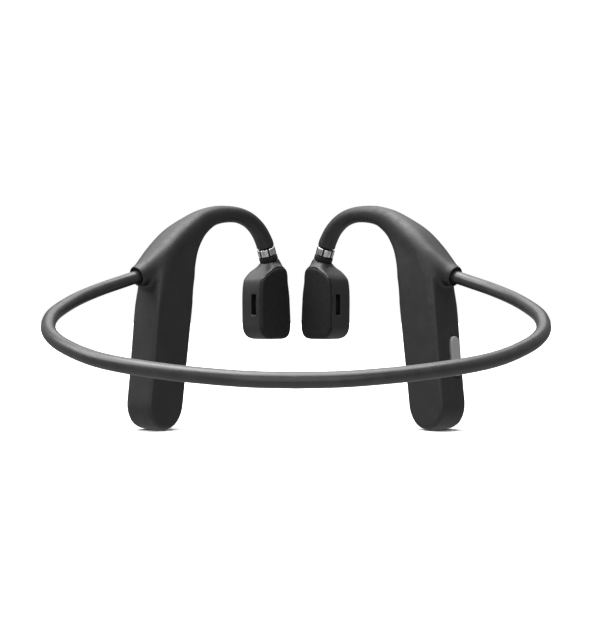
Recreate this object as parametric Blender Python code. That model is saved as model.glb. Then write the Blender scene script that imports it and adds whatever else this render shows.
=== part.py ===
"""Bone conduction headphones: a springy neckband, two ear hooks with a pod behind each ear,
and a transducer in front of each ear.

Metres, +X to the wearer's right, +Y the way the wearer faces, +Z up. The origin is midway between
the undersides of the two hooks, where they sit on the ears.
"""

from math import cos, pi, radians, sin, sqrt

import bmesh
import bpy
import numpy as np
from mathutils import Vector

MM = 0.001

# ---------------------------------------------------------------- driving dimensions

# Each ear's hook, pod and transducer lie in one upright plane, toed in towards the face. In it,
# u runs forward, w outward from the head and z up, from the point under the arch that meets the ear.
TOE_IN = radians(42)
EAR_X = 23.1 * MM

GAP = 0.3 * MM
# How far a cutter runs past the face it cuts through.
CUT_PAST = 1 * MM

# Pod: u, z, half width, half depth and corner radius at stations from its foot up into the hook.
POD_STATIONS = MM * np.array([
    (-34.2, -61.0, 7.65, 6.3, 2.0),
    (-33.1, -52.0, 7.70, 6.3, 2.0),
    (-31.0, -34.0, 8.00, 6.3, 2.0),
    (-29.5, -22.0, 8.25, 6.3, 2.1),
    (-27.3, -14.5, 7.60, 5.9, 2.3),
    (-23.3, -8.2, 6.50, 4.9, 2.6),
    (-17.4, -4.0, 4.70, 3.6, 2.6),
    (-12.6, -1.5, 3.40, 2.8, 2.4),
    (-7.5, 0.9, 2.00, 2.0, 1.6),
])
POD_END_LENGTH = 8.8 * MM
POD_LEAN = radians(6.2)
POD_WALL = 1.4 * MM
POD_CAVITY_TOP = -27.0 * MM
COVER_SPLIT = -3.6 * MM
# A rounded foot is sectioned at these angles of its quarter ellipse.
END_ANGLES = np.radians((20, 40, 58, 73, 84))
LEAST_CORNER = 0.6 * MM
# The slanted line on which the shells meet the hook's sleeve, from the pod's back to its front.
SLEEVE_LINE_BACK = (-38.0 * MM, -24.6 * MM)
SLEEVE_LINE_FRONT = (-21.0 * MM, -19.0 * MM)

# Hook: u, w, z and radius at stations from the band's socket over the arch to the trim ring.
HOOK_STATIONS = MM * np.array([
    (-42.2, 0.5, -20.3, 3.60),
    (-39.6, 0.4, -19.3, 3.85),
    (-36.1, 0.3, -16.7, 4.30),
    (-31.4, 0.1, -12.8, 4.70),
    (-25.0, 0.0, -7.0, 4.60),
    (-17.5, 0.0, -2.2, 3.90),
    (-11.9, 0.0, 0.5, 3.30),
    (-5.0, 0.0, 2.2, 2.85),
    (3.0, 0.0, 2.55, 2.70),
    (9.3, 0.0, 1.2, 2.80),
    (14.2, 0.0, -2.0, 3.00),
    (17.4, 0.0, -6.2, 3.15),
    (18.2, 0.0, -8.2, 3.20),
])
SOCKET_RADIUS = 2.95 * MM
SOCKET_DEPTH = 3.0 * MM
GROMMET_SETBACK = 0.8 * MM
HOOK_SIDES = 14

# Neck: the ring, the collar under it and the wire all lie on one line, leaning forward as it drops.
NECK_LEAN = radians(21.8)
RING_CENTRE = (18.8 * MM, -9.7 * MM)
RING_HEIGHT = 2.7 * MM
RING_RADIUS = 3.25 * MM
NECK_COLLAR_HEIGHT = 1.7 * MM
NECK_COLLAR_RADIUS = 3.35 * MM
WIRE_END_DROP = 6.4 * MM
NECK_BORE_LENGTH = 12 * MM
NECK_BORE_SLACK = 0.15 * MM
RING_EDGE = 0.35 * MM

# Transducer: u, z, tilt in degrees, half width, half depth and corner radius, from the neck down.
TRANSDUCER_STATIONS = np.array([
    (20.15, -13.15, 22, 3.50, 3.40, 3.20),
    (19.90, -14.30, 17, 4.20, 4.10, 3.20),
    (19.40, -15.60, 10, 5.20, 4.90, 2.90),
    (18.75, -17.40, 4, 6.30, 5.30, 2.20),
    (18.40, -20.80, 0, 7.50, 5.35, 1.70),
    (18.50, -26.00, 0, 8.00, 5.35, 1.60),
    (18.80, -36.20, 0, 8.30, 5.35, 1.60),
]) * np.array([MM, MM, 1, MM, MM, MM])
TRANSDUCER_END_LENGTH = 4.9 * MM
TRANSDUCER_END_LOSS = 4.6 * MM
TRANSDUCER_END_SHIFT = 0.8 * MM
TRANSDUCER_WALL = 1.2 * MM
TRANSDUCER_CAVITY_TOP = -18.6 * MM
PAD_SPLIT = -4.05 * MM

# The sound slot in the transducer's back edge.
SLOT_W = -1.1 * MM
SLOT_Z = -28.8 * MM
SLOT_WIDTH = 2.4 * MM
SLOT_HEIGHT = 7.3 * MM
SLOT_CORNER = 0.4 * MM
MESH_MARGIN = 0.5 * MM
MESH_THICKNESS = 0.25 * MM

# Exciter, a moving-coil motor on an axis along w.
EXCITER_U = 18.6 * MM
EXCITER_Z = -28.5 * MM
EXCITER_RADIUS = 6.1 * MM
YOKE_WALL = 0.9 * MM
YOKE_RIM_W = -1.4 * MM
YOKE_FLOOR_W = 1.5 * MM
YOKE_BACK_W = 2.2 * MM
MAGNET_RADIUS = 4.0 * MM
MAGNET_FACE_W = -0.3 * MM
TOP_PLATE_FACE_W = -1.3 * MM
COIL_CLEARANCE = 0.4 * MM
COIL_W = (-2.6 * MM, -0.2 * MM)
SPRING_PLATE_HOLE = 1.2 * MM
SPRING_PLATE_W = (-3.2 * MM, -2.9 * MM)

# Neckband: the right half of its route, from the middle of the back round to the socket.
BAND_ROUTE = MM * np.array([
    (0.0, -129.2, -48.2),
    (11.0, -128.5, -48.0),
    (22.0, -126.3, -47.3),
    (32.0, -123.1, -46.4),
    (43.3, -118.0, -45.0),
    (51.5, -112.4, -43.5),
    (58.6, -105.0, -41.4),
    (64.2, -97.0, -39.1),
    (68.0, -87.7, -36.4),
    (69.5, -76.2, -33.1),
    (68.7, -64.0, -30.3),
    (65.8, -52.5, -27.3),
    (61.0, -42.5, -24.4),
    (55.0, -34.4, -21.7),
])
HINGE_STATION = 3
HINGE_GAP = 1.0 * MM
BAND_TILT = radians(16)
SHEATH_INTO_SOCKET = 2.4 * MM
HOOK_WIRE_START = 4.6 * MM
HOOK_SPACING = 4.125 * MM
BAND_SIDES = 10
BAND_SPACING = 5.5 * MM
BAND_RADIUS = 2.05 * MM
BORE_RADIUS = 1.25 * MM
WIRE_RADIUS = 0.45 * MM
WIRE_RISE = 0.45 * MM
LEAD_RADIUS = 0.35 * MM
LEAD_DROP = 0.55 * MM

# Volume rocker, in the right pod's back edge.
ROCKER_W = 2.4 * MM
ROCKER_Z = -45.8 * MM
ROCKER_WIDTH = 4.3 * MM
ROCKER_LENGTH = 13.0 * MM
ROCKER_PROUD = 0.5 * MM
ROCKER_DEPTH = 1.9 * MM
ROCKER_PIVOT_DEPTH = 0.7 * MM
ROCKER_EDGE = (0.4 * MM, 0.5 * MM)
ROCKER_SWITCH_RISE = 4.2 * MM
ROCKER_SWITCH_WIDTH = 3.0 * MM
ROCKER_SWITCH_THICKNESS = 1.5 * MM
ROCKER_SWITCH_SET_BACK = 0.35 * MM
# A pill's corner radius as a share of its half width.
PILL_SHARE = 0.97

# USB-C receptacle and its rubber cover, in the right pod's outer face.
PORT_Z = -56.4 * MM
PORT_WIDTH = 3.26 * MM
PORT_LENGTH = 8.94 * MM
COVER_WIDTH = 6.4 * MM
COVER_LENGTH = 12.6 * MM
COVER_THICKNESS = 0.65 * MM
COVER_RECESS = 0.85 * MM
COVER_CORNER = 1.9 * MM
COVER_EDGE = 0.25 * MM
RECEPTACLE_WALL = 0.35 * MM
RECEPTACLE_BACK_W = -1.2 * MM
RECEPTACLE_SET_BACK = 0.1 * MM
TONGUE_HALF_SIZE = (0.35 * MM, 3.3 * MM)
TONGUE_SET_BACK = 1.0 * MM

# Multifunction button, in the left transducer's outer face.
BUTTON_Z = -28.5 * MM
BUTTON_WIDTH = 6.4 * MM
BUTTON_HEIGHT = 10.4 * MM
BUTTON_PROUD = 0.6 * MM
BUTTON_DEPTH = 1.4 * MM
BUTTON_EDGE = 0.3 * MM
BUTTON_CORNER = 2.6 * MM
BUTTON_SWITCH_WIDTH = 4.4 * MM
BUTTON_SWITCH_W = (2.5 * MM, 3.5 * MM)
SWITCH_CORNER = 0.4 * MM

# Microphone and status lamp, behind small holes in the right pod's outer face.
MICROPHONE_Z = -34.0 * MM
MICROPHONE_HOLE = 0.5 * MM
MICROPHONE_DEPTH = 1.3 * MM
LAMP_Z = -45.5 * MM
LAMP_HOLE = 1.1 * MM
LAMP_RADIUS = 0.8 * MM
LAMP_DEPTH = 0.4 * MM
LAMP_PROUD = 0.1 * MM

# Finishes: colour, roughness and metallic.
FINISHES = {
    "sleeve_silicone": ((0.033, 0.033, 0.034), 0.55, 0.0),
    "band_silicone": ((0.045, 0.045, 0.046), 0.35, 0.0),
    "shell_plastic": ((0.033, 0.033, 0.034), 0.55, 0.0),
    "pad_silicone": ((0.020, 0.020, 0.021), 0.60, 0.0),
    "black_rubber": ((0.012, 0.012, 0.012), 0.65, 0.0),
    "chrome": ((0.75, 0.75, 0.76), 0.12, 1.0),
    "titanium": ((0.45, 0.44, 0.43), 0.35, 1.0),
    "lead_insulation": ((0.30, 0.02, 0.02), 0.50, 0.0),
    "motor_steel": ((0.50, 0.50, 0.50), 0.35, 1.0),
    "magnet_nickel": ((0.65, 0.63, 0.60), 0.22, 1.0),
    "copper": ((0.80, 0.38, 0.20), 0.35, 1.0),
    "cell_foil": ((0.70, 0.70, 0.70), 0.40, 1.0),
    "circuit_board": ((0.02, 0.10, 0.04), 0.45, 0.0),
    "shield_steel": ((0.62, 0.62, 0.62), 0.30, 1.0),
    "switch_body": ((0.03, 0.03, 0.03), 0.50, 0.0),
    "lamp_lens": ((0.80, 0.80, 0.78), 0.20, 0.0),
    "grey_button": ((0.22, 0.22, 0.22), 0.40, 0.0),
}


# ---------------------------------------------------------------- general tools

def add_object(name, bm, finish, parent):
    """A named solid, or with no finish a hidden cutter, from a closed mesh."""
    bmesh.ops.recalc_face_normals(bm, faces=bm.faces)
    mesh = bpy.data.meshes.new(name)
    bm.to_mesh(mesh)
    bm.free()
    obj = bpy.data.objects.new(name, mesh)
    bpy.context.scene.collection.objects.link(obj)
    obj.parent = parent
    if finish is None:
        obj.hide_render = True
        obj.display_type = "WIRE"
        return obj
    mesh.shade_smooth()
    mesh.set_sharp_from_angle(angle=radians(35))
    colour, roughness, metallic = FINISHES[finish]
    material = bpy.data.materials.new(name)
    material.use_nodes = True
    shader = material.node_tree.nodes["Principled BSDF"]
    shader.inputs["Base Color"].default_value = (*colour, 1.0)
    shader.inputs["Roughness"].default_value = roughness
    shader.inputs["Metallic"].default_value = metallic
    mesh.materials.append(material)
    return obj


def combine(target, operation, tool):
    """Cut a hidden solid from the target, or join it on."""
    modifier = target.modifiers.new(tool.name, "BOOLEAN")
    modifier.operation = operation
    modifier.solver = "EXACT"
    modifier.object = tool


def spline(rows, steps):
    """Rows read from a smooth curve through the given rows, with so many steps to a span."""
    padded = np.vstack([2 * rows[0] - rows[1], rows, 2 * rows[-1] - rows[-2]])
    result = []
    for before, start, end, after in zip(padded, padded[1:], padded[2:], padded[3:]):
        for t in np.arange(steps) / steps:
            cubic = 3 * (start - end) + after - before
            square = 2 * before - 5 * start + 4 * end - after
            result.append(start + 0.5 * t * (end - before + t * (square + t * cubic)))
    return np.array([*result, rows[-1]])


def unit(vector):
    return np.asarray(vector, float) / np.linalg.norm(vector)


def loft(rings):
    """A closed mesh through rings of points, with a flat cap at each end."""
    bm = bmesh.new()
    loops = [[bm.verts.new(point) for point in ring] for ring in rings]
    count = len(loops[0])
    for low, high in zip(loops, loops[1:]):
        for i in range(count):
            j = (i + 1) % count
            bm.faces.new((low[i], low[j], high[j], high[i]))
    bm.faces.new(loops[0])
    bm.faces.new(loops[-1])
    return bm


def turned(profile, sides, hollow=False):
    """A solid turned about Z from (radius, height) points; a hollow one's profile is a loop."""
    bm = bmesh.new()
    loops = []
    for radius, height in profile:
        if radius == 0:
            loops.append([bm.verts.new((0, 0, height))] * sides)
            continue
        turns = [2 * pi * i / sides for i in range(sides)]
        loops.append([bm.verts.new((radius * cos(a), radius * sin(a), height)) for a in turns])
    pairs = list(zip(loops, loops[1:]))
    if hollow:
        pairs.append((loops[-1], loops[0]))
    for low, high in pairs:
        for i in range(sides):
            j = (i + 1) % sides
            corners = dict.fromkeys((low[i], low[j], high[j], high[i]))
            bm.faces.new(tuple(corners))
    return bm


def turned_plug(radius, low, high, sides):
    """A plain round plug about Z."""
    return turned([(0, low), (radius, low), (radius, high), (0, high)], sides)


def turned_ring(inner, outer, low, high, sides):
    """A plain round ring about Z."""
    return turned([(inner, low), (outer, low), (outer, high), (inner, high)], sides, True)


def rounded_rectangle(half_width, half_height, corner, steps):
    """Points round a rectangle with rounded corners, in order."""
    points = []
    for quarter, (x, y) in enumerate(((1, 1), (-1, 1), (-1, -1), (1, -1))):
        for step in range(steps + 1):
            angle = (quarter + step / steps) * pi / 2
            across = x * (half_width - corner) + corner * cos(angle)
            along = y * (half_height - corner) + corner * sin(angle)
            points.append((across, along))
    return points


def prism(outline, low, high, axis):
    """An outline pushed from low to high along one axis; it lies in the other two, in order."""
    rings = []
    for level in (low, high):
        ring = []
        for point in outline:
            place = list(point)
            place.insert("xyz".index(axis), level)
            ring.append(place)
        rings.append(ring)
    return loft(rings)


def keep_below(bm, point, normal):
    """Cut a closed mesh on a plane, and keep and cap the side that the normal points away from."""
    everything = [*bm.verts, *bm.edges, *bm.faces]
    bmesh.ops.bisect_plane(bm, geom=everything, plane_co=point, plane_no=normal, clear_outer=True)
    edges = [edge for edge in bm.edges if edge.is_boundary]
    bmesh.ops.holes_fill(bm, edges=edges)
    return bm


# ---------------------------------------------------------------- the two ears

class Ear:
    """One ear's frame. Its pieces' local X is u and local Z is z; local Y is w, or -w on the right."""

    def __init__(self, name, hinge_point):
        self.name = name
        self.sign = 1 if name == "right" else -1
        self.hand = -self.sign
        self.hinge = bpy.data.objects.new(f"{name}_arm_hinge", None)
        self.hinge.location = hinge_point * (self.sign, 1, 1)
        self.frame = bpy.data.objects.new(f"{name}_ear_frame", None)
        self.frame.parent = self.hinge
        self.frame.location = Vector((self.sign * EAR_X, 0, 0)) - self.hinge.location
        self.frame.rotation_euler.z = pi / 2 + self.sign * TOE_IN
        for empty in (self.hinge, self.frame):
            bpy.context.scene.collection.objects.link(empty)

    def local(self, u, w, z):
        return Vector((u, self.hand * w, z))

    def add(self, name, bm, finish, at=(0, 0, 0), lean=0.0):
        """A solid in this ear's frame, made about its own origin at u, w, z and leaned about w."""
        obj = add_object(f"{self.name}_{name}", bm, finish, self.frame)
        obj.location = self.local(*at)
        obj.rotation_euler.y = lean
        return obj

    def add_facing(self, name, bm, finish, at):
        """A solid made about Z, turned so that its Z points outward from the head."""
        obj = self.add(name, bm, finish, at)
        obj.rotation_euler.x = -self.hand * pi / 2
        return obj


def to_world(points):
    """Right ear points from u, w, z to the headphones' frame."""
    u, w, z = np.asarray(points).T
    x = EAR_X - u * sin(TOE_IN) + w * cos(TOE_IN)
    y = u * cos(TOE_IN) + w * sin(TOE_IN)
    return np.stack([x, y, z], axis=1)


# ---------------------------------------------------------------- shapes of pod, hook, transducer

def section(ear, centre, across, half_width, half_depth, corner):
    """A rounded rectangle of points, across the given direction in the ear's plane and along w."""
    corner = min(corner, 0.9 * half_width, 0.9 * half_depth)
    outline = rounded_rectangle(half_width, half_depth, corner, 2)
    return [
        ear.local(centre[0] + a * across[0], w, centre[1] + a * across[1]) for a, w in outline
    ]


def end_sizes(length, loss, half_width, half_depth, corner):
    """Distance past the last full section, half width and half depth, towards a rounded end."""
    for angle in END_ANGLES:
        distance = length * sin(angle)
        into_corner = max(0.0, distance - length + corner)
        depth_loss = corner - sqrt(corner**2 - into_corner**2)
        yield distance, half_width - loss * (1 - cos(angle)), half_depth - depth_loss


def pod_rings(ear, inset=0.0, top=None):
    """Sections of the pod from its rounded foot upwards, drawn in by the inset."""
    rows = spline(POD_STATIONS, 2)
    tangents = np.gradient(rows[:, :2], axis=0)
    rows[:, 2:4] -= inset
    rows[:, 4] = np.maximum(rows[:, 4] - inset, LEAST_CORNER)
    if top is not None:
        kept = rows[:, 1] < top
        rows, tangents = rows[kept], tangents[kept]
    rings = []
    foot, up = rows[0], unit(tangents[0])
    across = (-up[1], up[0])
    end = end_sizes(POD_END_LENGTH - inset, foot[2], *foot[2:])
    for distance, half_width, half_depth in reversed(list(end)):
        centre = foot[:2] - distance * up
        rings.append(section(ear, centre, across, half_width, half_depth, foot[4]))
    for row, tangent in zip(rows, tangents):
        along = unit(tangent)
        rings.append(section(ear, row[:2], (-along[1], along[0]), *row[2:]))
    return rings


def hook_rings(ear):
    """Round sections of the hook's sleeve from the band's socket to the trim ring."""
    rows = spline(HOOK_STATIONS, 2)
    tangents = np.gradient(rows[:, :3], axis=0)
    rings = []
    for row, tangent in zip(rows, tangents):
        along = unit(tangent)
        across = unit(np.cross(along, (0, 1, 0)))
        other = np.cross(along, across)
        ring = []
        for angle in 2 * pi * np.arange(HOOK_SIDES) / HOOK_SIDES:
            point = row[:3] + row[3] * (cos(angle) * across + sin(angle) * other)
            ring.append(ear.local(*point))
        rings.append(ring)
    return rings


def transducer_rings(ear, inset=0.0, top=None):
    """Sections of the transducer from its neck down to its foot, drawn in by the inset."""
    rows = spline(TRANSDUCER_STATIONS, 1)
    rows[:, 3:5] -= inset
    rows[:, 5] = np.maximum(rows[:, 5] - inset, LEAST_CORNER)
    if top is not None:
        rows = rows[rows[:, 1] < top]
    rings = []
    for u, z, tilt, half_width, half_depth, corner in rows:
        across = (cos(radians(tilt)), sin(radians(tilt)))
        rings.append(section(ear, (u, z), across, half_width, half_depth, corner))
    u, z, _, half_width, half_depth, corner = rows[-1]
    end = end_sizes(TRANSDUCER_END_LENGTH - inset, TRANSDUCER_END_LOSS, half_width, half_depth, corner)
    for distance, end_width, half_depth in end:
        shift = TRANSDUCER_END_SHIFT * (half_width - end_width) / TRANSDUCER_END_LOSS
        rings.append(section(ear, (u + shift, z - distance), (1, 0), end_width, half_depth, corner))
    return rings


def neck_point(drop):
    """A point on the neck's line, the given distance past the ring's centre, as u and z."""
    u = RING_CENTRE[0] + drop * sin(NECK_LEAN)
    z = RING_CENTRE[1] - drop * cos(NECK_LEAN)
    return u, z


# ---------------------------------------------------------------- pieces that both ears have

def build_pod_shells(ear):
    """The outer shell and the inner cover, hollow, split on a plane across w."""
    back, front = Vector(SLEEVE_LINE_BACK), Vector(SLEEVE_LINE_FRONT)
    run = front - back
    top_point = (back.x, 0, back.y)
    top_normal = (-run.y, 0, run.x)
    outward = ear.local(0, 1, 0)
    cavity = ear.add("pod_cavity", loft(pod_rings(ear, POD_WALL, POD_CAVITY_TOP)), None)

    shell = keep_below(loft(pod_rings(ear)), top_point, top_normal)
    shell = keep_below(shell, outward * (COVER_SPLIT + GAP / 2), -outward)
    shell = ear.add("pod_outer_shell", shell, "shell_plastic")
    cover = keep_below(loft(pod_rings(ear)), top_point, top_normal)
    cover = keep_below(cover, outward * (COVER_SPLIT - GAP / 2), outward)
    cover = ear.add("pod_inner_cover", cover, "shell_plastic")
    for piece in (shell, cover):
        combine(piece, "DIFFERENCE", cavity)
    return shell


def build_hook_sleeve(ear, bore):
    """The soft sleeve over the hook's wire, which carries the band's socket and caps the pod."""
    sleeve = ear.add("hook_sleeve", loft(hook_rings(ear)), "sleeve_silicone")
    back, front = Vector(SLEEVE_LINE_BACK), Vector(SLEEVE_LINE_FRONT)
    run = front - back
    rise = Vector((-run.y, run.x)).normalized() * GAP
    base_point = (back.x + rise.x, 0, back.y + rise.y)
    web = keep_below(loft(pod_rings(ear)), base_point, (run.y, 0, -run.x))
    combine(sleeve, "UNION", ear.add("hook_web", web, None))

    start, after = HOOK_STATIONS[0, :3], HOOK_STATIONS[1, :3]
    along = Vector(ear.local(*unit(after - start)))
    hole = turned_plug(SOCKET_RADIUS, -CUT_PAST, SOCKET_DEPTH, 16)
    hole = ear.add("socket_hole", hole, None, start)
    hole.rotation_euler = along.to_track_quat("Z", "Y").to_euler()
    combine(sleeve, "DIFFERENCE", hole)
    combine(sleeve, "DIFFERENCE", bore)

    inner, outer = BAND_RADIUS + GAP, SOCKET_RADIUS - GAP
    grommet = turned_ring(inner, outer, GROMMET_SETBACK, SOCKET_DEPTH - GAP, 16)
    grommet = ear.add("band_grommet", grommet, "black_rubber", start)
    grommet.rotation_euler = hole.rotation_euler


def build_neck(ear):
    """The bright trim ring and the dark collar under it, on the neck's line."""
    half, bore = RING_HEIGHT / 2, BORE_RADIUS + NECK_BORE_SLACK
    ring = [
        (bore, -half), (RING_RADIUS - RING_EDGE, -half), (RING_RADIUS, RING_EDGE - half),
        (RING_RADIUS, half - RING_EDGE), (RING_RADIUS - RING_EDGE, half), (bore, half),
    ]
    u, z = neck_point(0)
    ear.add("trim_ring", turned(ring, 18, True), "chrome", (u, 0, z), -NECK_LEAN)

    half = NECK_COLLAR_HEIGHT / 2
    collar = turned_ring(bore, NECK_COLLAR_RADIUS, -half, half, 18)
    u, z = neck_point(RING_HEIGHT / 2 + GAP + half)
    ear.add("neck_collar", collar, "black_rubber", (u, 0, z), -NECK_LEAN)


def build_transducer(ear):
    """The housing with its neck and sound slot, the contact pad and the slot's mesh."""
    outward = ear.local(0, 1, 0)
    housing = keep_below(loft(transducer_rings(ear)), outward * (PAD_SPLIT + GAP / 2), -outward)
    housing = ear.add("transducer_housing", housing, "shell_plastic")
    cavity = loft(transducer_rings(ear, TRANSDUCER_WALL, TRANSDUCER_CAVITY_TOP))
    combine(housing, "DIFFERENCE", ear.add("transducer_cavity", cavity, None))

    u, z = neck_point(0)
    bore = turned_plug(BORE_RADIUS, -NECK_BORE_LENGTH, 0, 10)
    combine(housing, "DIFFERENCE", ear.add("neck_bore", bore, None, (u, 0, z), -NECK_LEAN))

    back = TRANSDUCER_STATIONS[-2, 0] - TRANSDUCER_STATIONS[-2, 3]
    hand_w = ear.hand * SLOT_W
    opening = rounded_rectangle(SLOT_WIDTH / 2, SLOT_HEIGHT / 2, SLOT_CORNER, 2)
    opening = [(hand_w + w, SLOT_Z + z) for w, z in opening]
    opening = prism(opening, back - CUT_PAST, back + TRANSDUCER_WALL + CUT_PAST, "x")
    combine(housing, "DIFFERENCE", ear.add("slot_opening", opening, None))
    half_width, half_height = SLOT_WIDTH / 2 + MESH_MARGIN, SLOT_HEIGHT / 2 + MESH_MARGIN
    mesh = rounded_rectangle(half_width, half_height, SLOT_CORNER, 2)
    mesh = [(hand_w + w, SLOT_Z + z) for w, z in mesh]
    mesh_low = back + TRANSDUCER_WALL + MESH_THICKNESS
    ear.add("slot_mesh", prism(mesh, mesh_low, mesh_low + MESH_THICKNESS, "x"), "motor_steel")

    pad = keep_below(loft(transducer_rings(ear)), outward * (PAD_SPLIT - GAP / 2), outward)
    ear.add("contact_pad", pad, "pad_silicone")
    return housing


def build_exciter(ear):
    """The moving-coil motor: yoke, magnet, top plate, voice coil and the plate that carries it."""
    centre = (EXCITER_U, 0, EXCITER_Z)
    inner = EXCITER_RADIUS - YOKE_WALL
    yoke = turned([
        (0, YOKE_FLOOR_W), (inner, YOKE_FLOOR_W), (inner, YOKE_RIM_W),
        (EXCITER_RADIUS, YOKE_RIM_W), (EXCITER_RADIUS, YOKE_BACK_W), (0, YOKE_BACK_W),
    ], 16)
    magnet = turned_plug(MAGNET_RADIUS, MAGNET_FACE_W, YOKE_FLOOR_W - GAP, 16)
    plate = turned_plug(MAGNET_RADIUS, TOP_PLATE_FACE_W, MAGNET_FACE_W - GAP, 16)
    coil = turned_ring(MAGNET_RADIUS + COIL_CLEARANCE, inner - GAP, *COIL_W, 16)
    spring = turned_ring(SPRING_PLATE_HOLE, EXCITER_RADIUS, *SPRING_PLATE_W, 16)
    solids = (
        ("exciter_yoke", yoke, "motor_steel"),
        ("exciter_magnet", magnet, "magnet_nickel"),
        ("exciter_top_plate", plate, "motor_steel"),
        ("voice_coil", coil, "copper"),
        ("spring_plate", spring, "motor_steel"),
    )
    for name, bm, finish in solids:
        ear.add_facing(name, bm, finish, centre)


# ---------------------------------------------------------------- pieces that only one ear has

def pod_centre(z):
    """The middle of the pod's width at a height, as u."""
    return np.interp(z, POD_STATIONS[:, 1], POD_STATIONS[:, 0])


def pod_back(z):
    """The pod's back edge at a height, as u."""
    return pod_centre(z) - np.interp(z, POD_STATIONS[:, 1], POD_STATIONS[:, 2]) / cos(POD_LEAN)


def add_in_pod(ear, name, finish, z, span_w, width, length, corner=0.4 * MM):
    """A plate or block inside a pod, leaned with it: width across, length along, span_w in w."""
    outline = rounded_rectangle(width / 2, length / 2, corner, 2)
    low, high = sorted(ear.hand * w for w in span_w)
    bm = loft([[(x, level, y) for x, y in outline] for level in (low, high)])
    return ear.add(name, bm, finish, (pod_centre(z), 0, z), POD_LEAN)


def build_battery(ear):
    """The pouch cell that fills the pod's lower part, and its small protection board above it."""
    cell_w = (-3.0 * MM, 4.0 * MM)
    cell_corner = 1.6 * MM
    add_in_pod(ear, "battery_cell", "cell_foil", -48.6 * MM, cell_w, 10.2 * MM, 30 * MM, cell_corner)
    board_w = (-0.4 * MM, 0.4 * MM)
    add_in_pod(ear, "battery_board", "circuit_board", -31.2 * MM, board_w, 9.5 * MM, 3.6 * MM)


def build_multifunction_button(ear, housing):
    """A cap that slides in through the transducer's outer wall onto a switch."""
    outer = TRANSDUCER_STATIONS[-1, 4]
    half_width, half_height = BUTTON_WIDTH / 2, BUTTON_HEIGHT / 2

    def facing(half_width, half_height, corner, w):
        outline = rounded_rectangle(half_width, half_height, corner, 4)
        return [(x, ear.hand * w, y) for x, y in outline]

    levels = (outer - TRANSDUCER_WALL - CUT_PAST, outer + CUT_PAST)
    hole = [facing(half_width + GAP, half_height + GAP, BUTTON_CORNER + GAP, w) for w in levels]
    hole = ear.add("button_hole", loft(hole), None, (EXCITER_U, 0, BUTTON_Z))
    combine(housing, "DIFFERENCE", hole)

    rings = []
    for w, inset in ((-BUTTON_DEPTH, 0), (BUTTON_PROUD - BUTTON_EDGE, 0), (BUTTON_PROUD, BUTTON_EDGE)):
        rings.append(facing(half_width - inset, half_height - inset, BUTTON_CORNER, w))
    ear.add("multifunction_button", loft(rings), "shell_plastic", (EXCITER_U, outer, BUTTON_Z))

    half = BUTTON_SWITCH_WIDTH / 2
    switch = loft([facing(half, half, SWITCH_CORNER, w) for w in BUTTON_SWITCH_W])
    ear.add("multifunction_switch", switch, "switch_body", (EXCITER_U, 0, BUTTON_Z))


def build_electronics(ear, shell):
    """The main board and its parts, with the microphone's and the lamp's holes in the shell."""
    board_w = (-0.6 * MM, 0.2 * MM)
    add_in_pod(ear, "main_board", "circuit_board", -40.0 * MM, board_w, 11 * MM, 20.5 * MM)
    can_w = (-2.2 * MM, -0.9 * MM)
    add_in_pod(ear, "radio_shield_can", "shield_steel", -38.0 * MM, can_w, 8 * MM, 9 * MM)
    inside = POD_STATIONS[0, 3] - POD_WALL
    capsule_w = (inside - MICROPHONE_DEPTH, inside - GAP)
    add_in_pod(ear, "microphone", "shield_steel", MICROPHONE_Z, capsule_w, 3.6 * MM, 2.8 * MM)

    low, high = inside - CUT_PAST, inside + POD_WALL + CUT_PAST
    holes = (("microphone_hole", MICROPHONE_HOLE, MICROPHONE_Z), ("lamp_hole", LAMP_HOLE, LAMP_Z))
    for name, radius, z in holes:
        drill = turned_plug(radius, low, high, 10)
        combine(shell, "DIFFERENCE", ear.add_facing(name, drill, None, (pod_centre(z), 0, z)))
    lens = turned_plug(LAMP_RADIUS, inside - LAMP_DEPTH, inside + POD_WALL + LAMP_PROUD, 12)
    ear.add_facing("status_lamp", lens, "lamp_lens", (pod_centre(LAMP_Z), 0, LAMP_Z))


def build_volume_rocker(ear, shell):
    """A pill in the pod's back edge, rocking on an axis along w, over two switches."""
    back = pod_back(ROCKER_Z)
    half_width, half_length = ROCKER_WIDTH / 2, ROCKER_LENGTH / 2
    corner = PILL_SHARE * (half_width + GAP)
    hole = rounded_rectangle(half_width + GAP, half_length + GAP, corner, 3)
    hole = prism(hole, -2 * CUT_PAST, ROCKER_DEPTH + CUT_PAST, "x")
    place = (back, ROCKER_W, ROCKER_Z)
    combine(shell, "DIFFERENCE", ear.add("rocker_hole", hole, None, place, POD_LEAN))

    rings = []
    depth = ROCKER_PIVOT_DEPTH
    edge_height, edge_inset = ROCKER_EDGE
    levels = ((-ROCKER_PROUD, edge_inset), (edge_height - ROCKER_PROUD, 0), (ROCKER_DEPTH, 0))
    for x, inset in levels:
        corner = PILL_SHARE * (half_width - inset)
        outline = rounded_rectangle(half_width - inset, half_length - inset, corner, 3)
        rings.append([(x - depth, y, z) for y, z in outline])
    pivot = (back + depth * cos(POD_LEAN), ROCKER_W, ROCKER_Z - depth * sin(POD_LEAN))
    rocker = ear.add("volume_rocker", loft(rings), "grey_button", pivot, POD_LEAN)
    rocker.name = "volume_rocker"

    half = ROCKER_SWITCH_WIDTH / 2
    low = ROCKER_DEPTH + ROCKER_SWITCH_SET_BACK
    high = low + ROCKER_SWITCH_THICKNESS
    rises = (("volume_up_switch", ROCKER_SWITCH_RISE), ("volume_down_switch", -ROCKER_SWITCH_RISE))
    for name, rise in rises:
        switch = prism(rounded_rectangle(half, half, SWITCH_CORNER, 2), low, high, "x")
        place = (back + rise * sin(POD_LEAN), ROCKER_W, ROCKER_Z + rise * cos(POD_LEAN))
        ear.add(name, switch, "switch_body", place, POD_LEAN)


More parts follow.
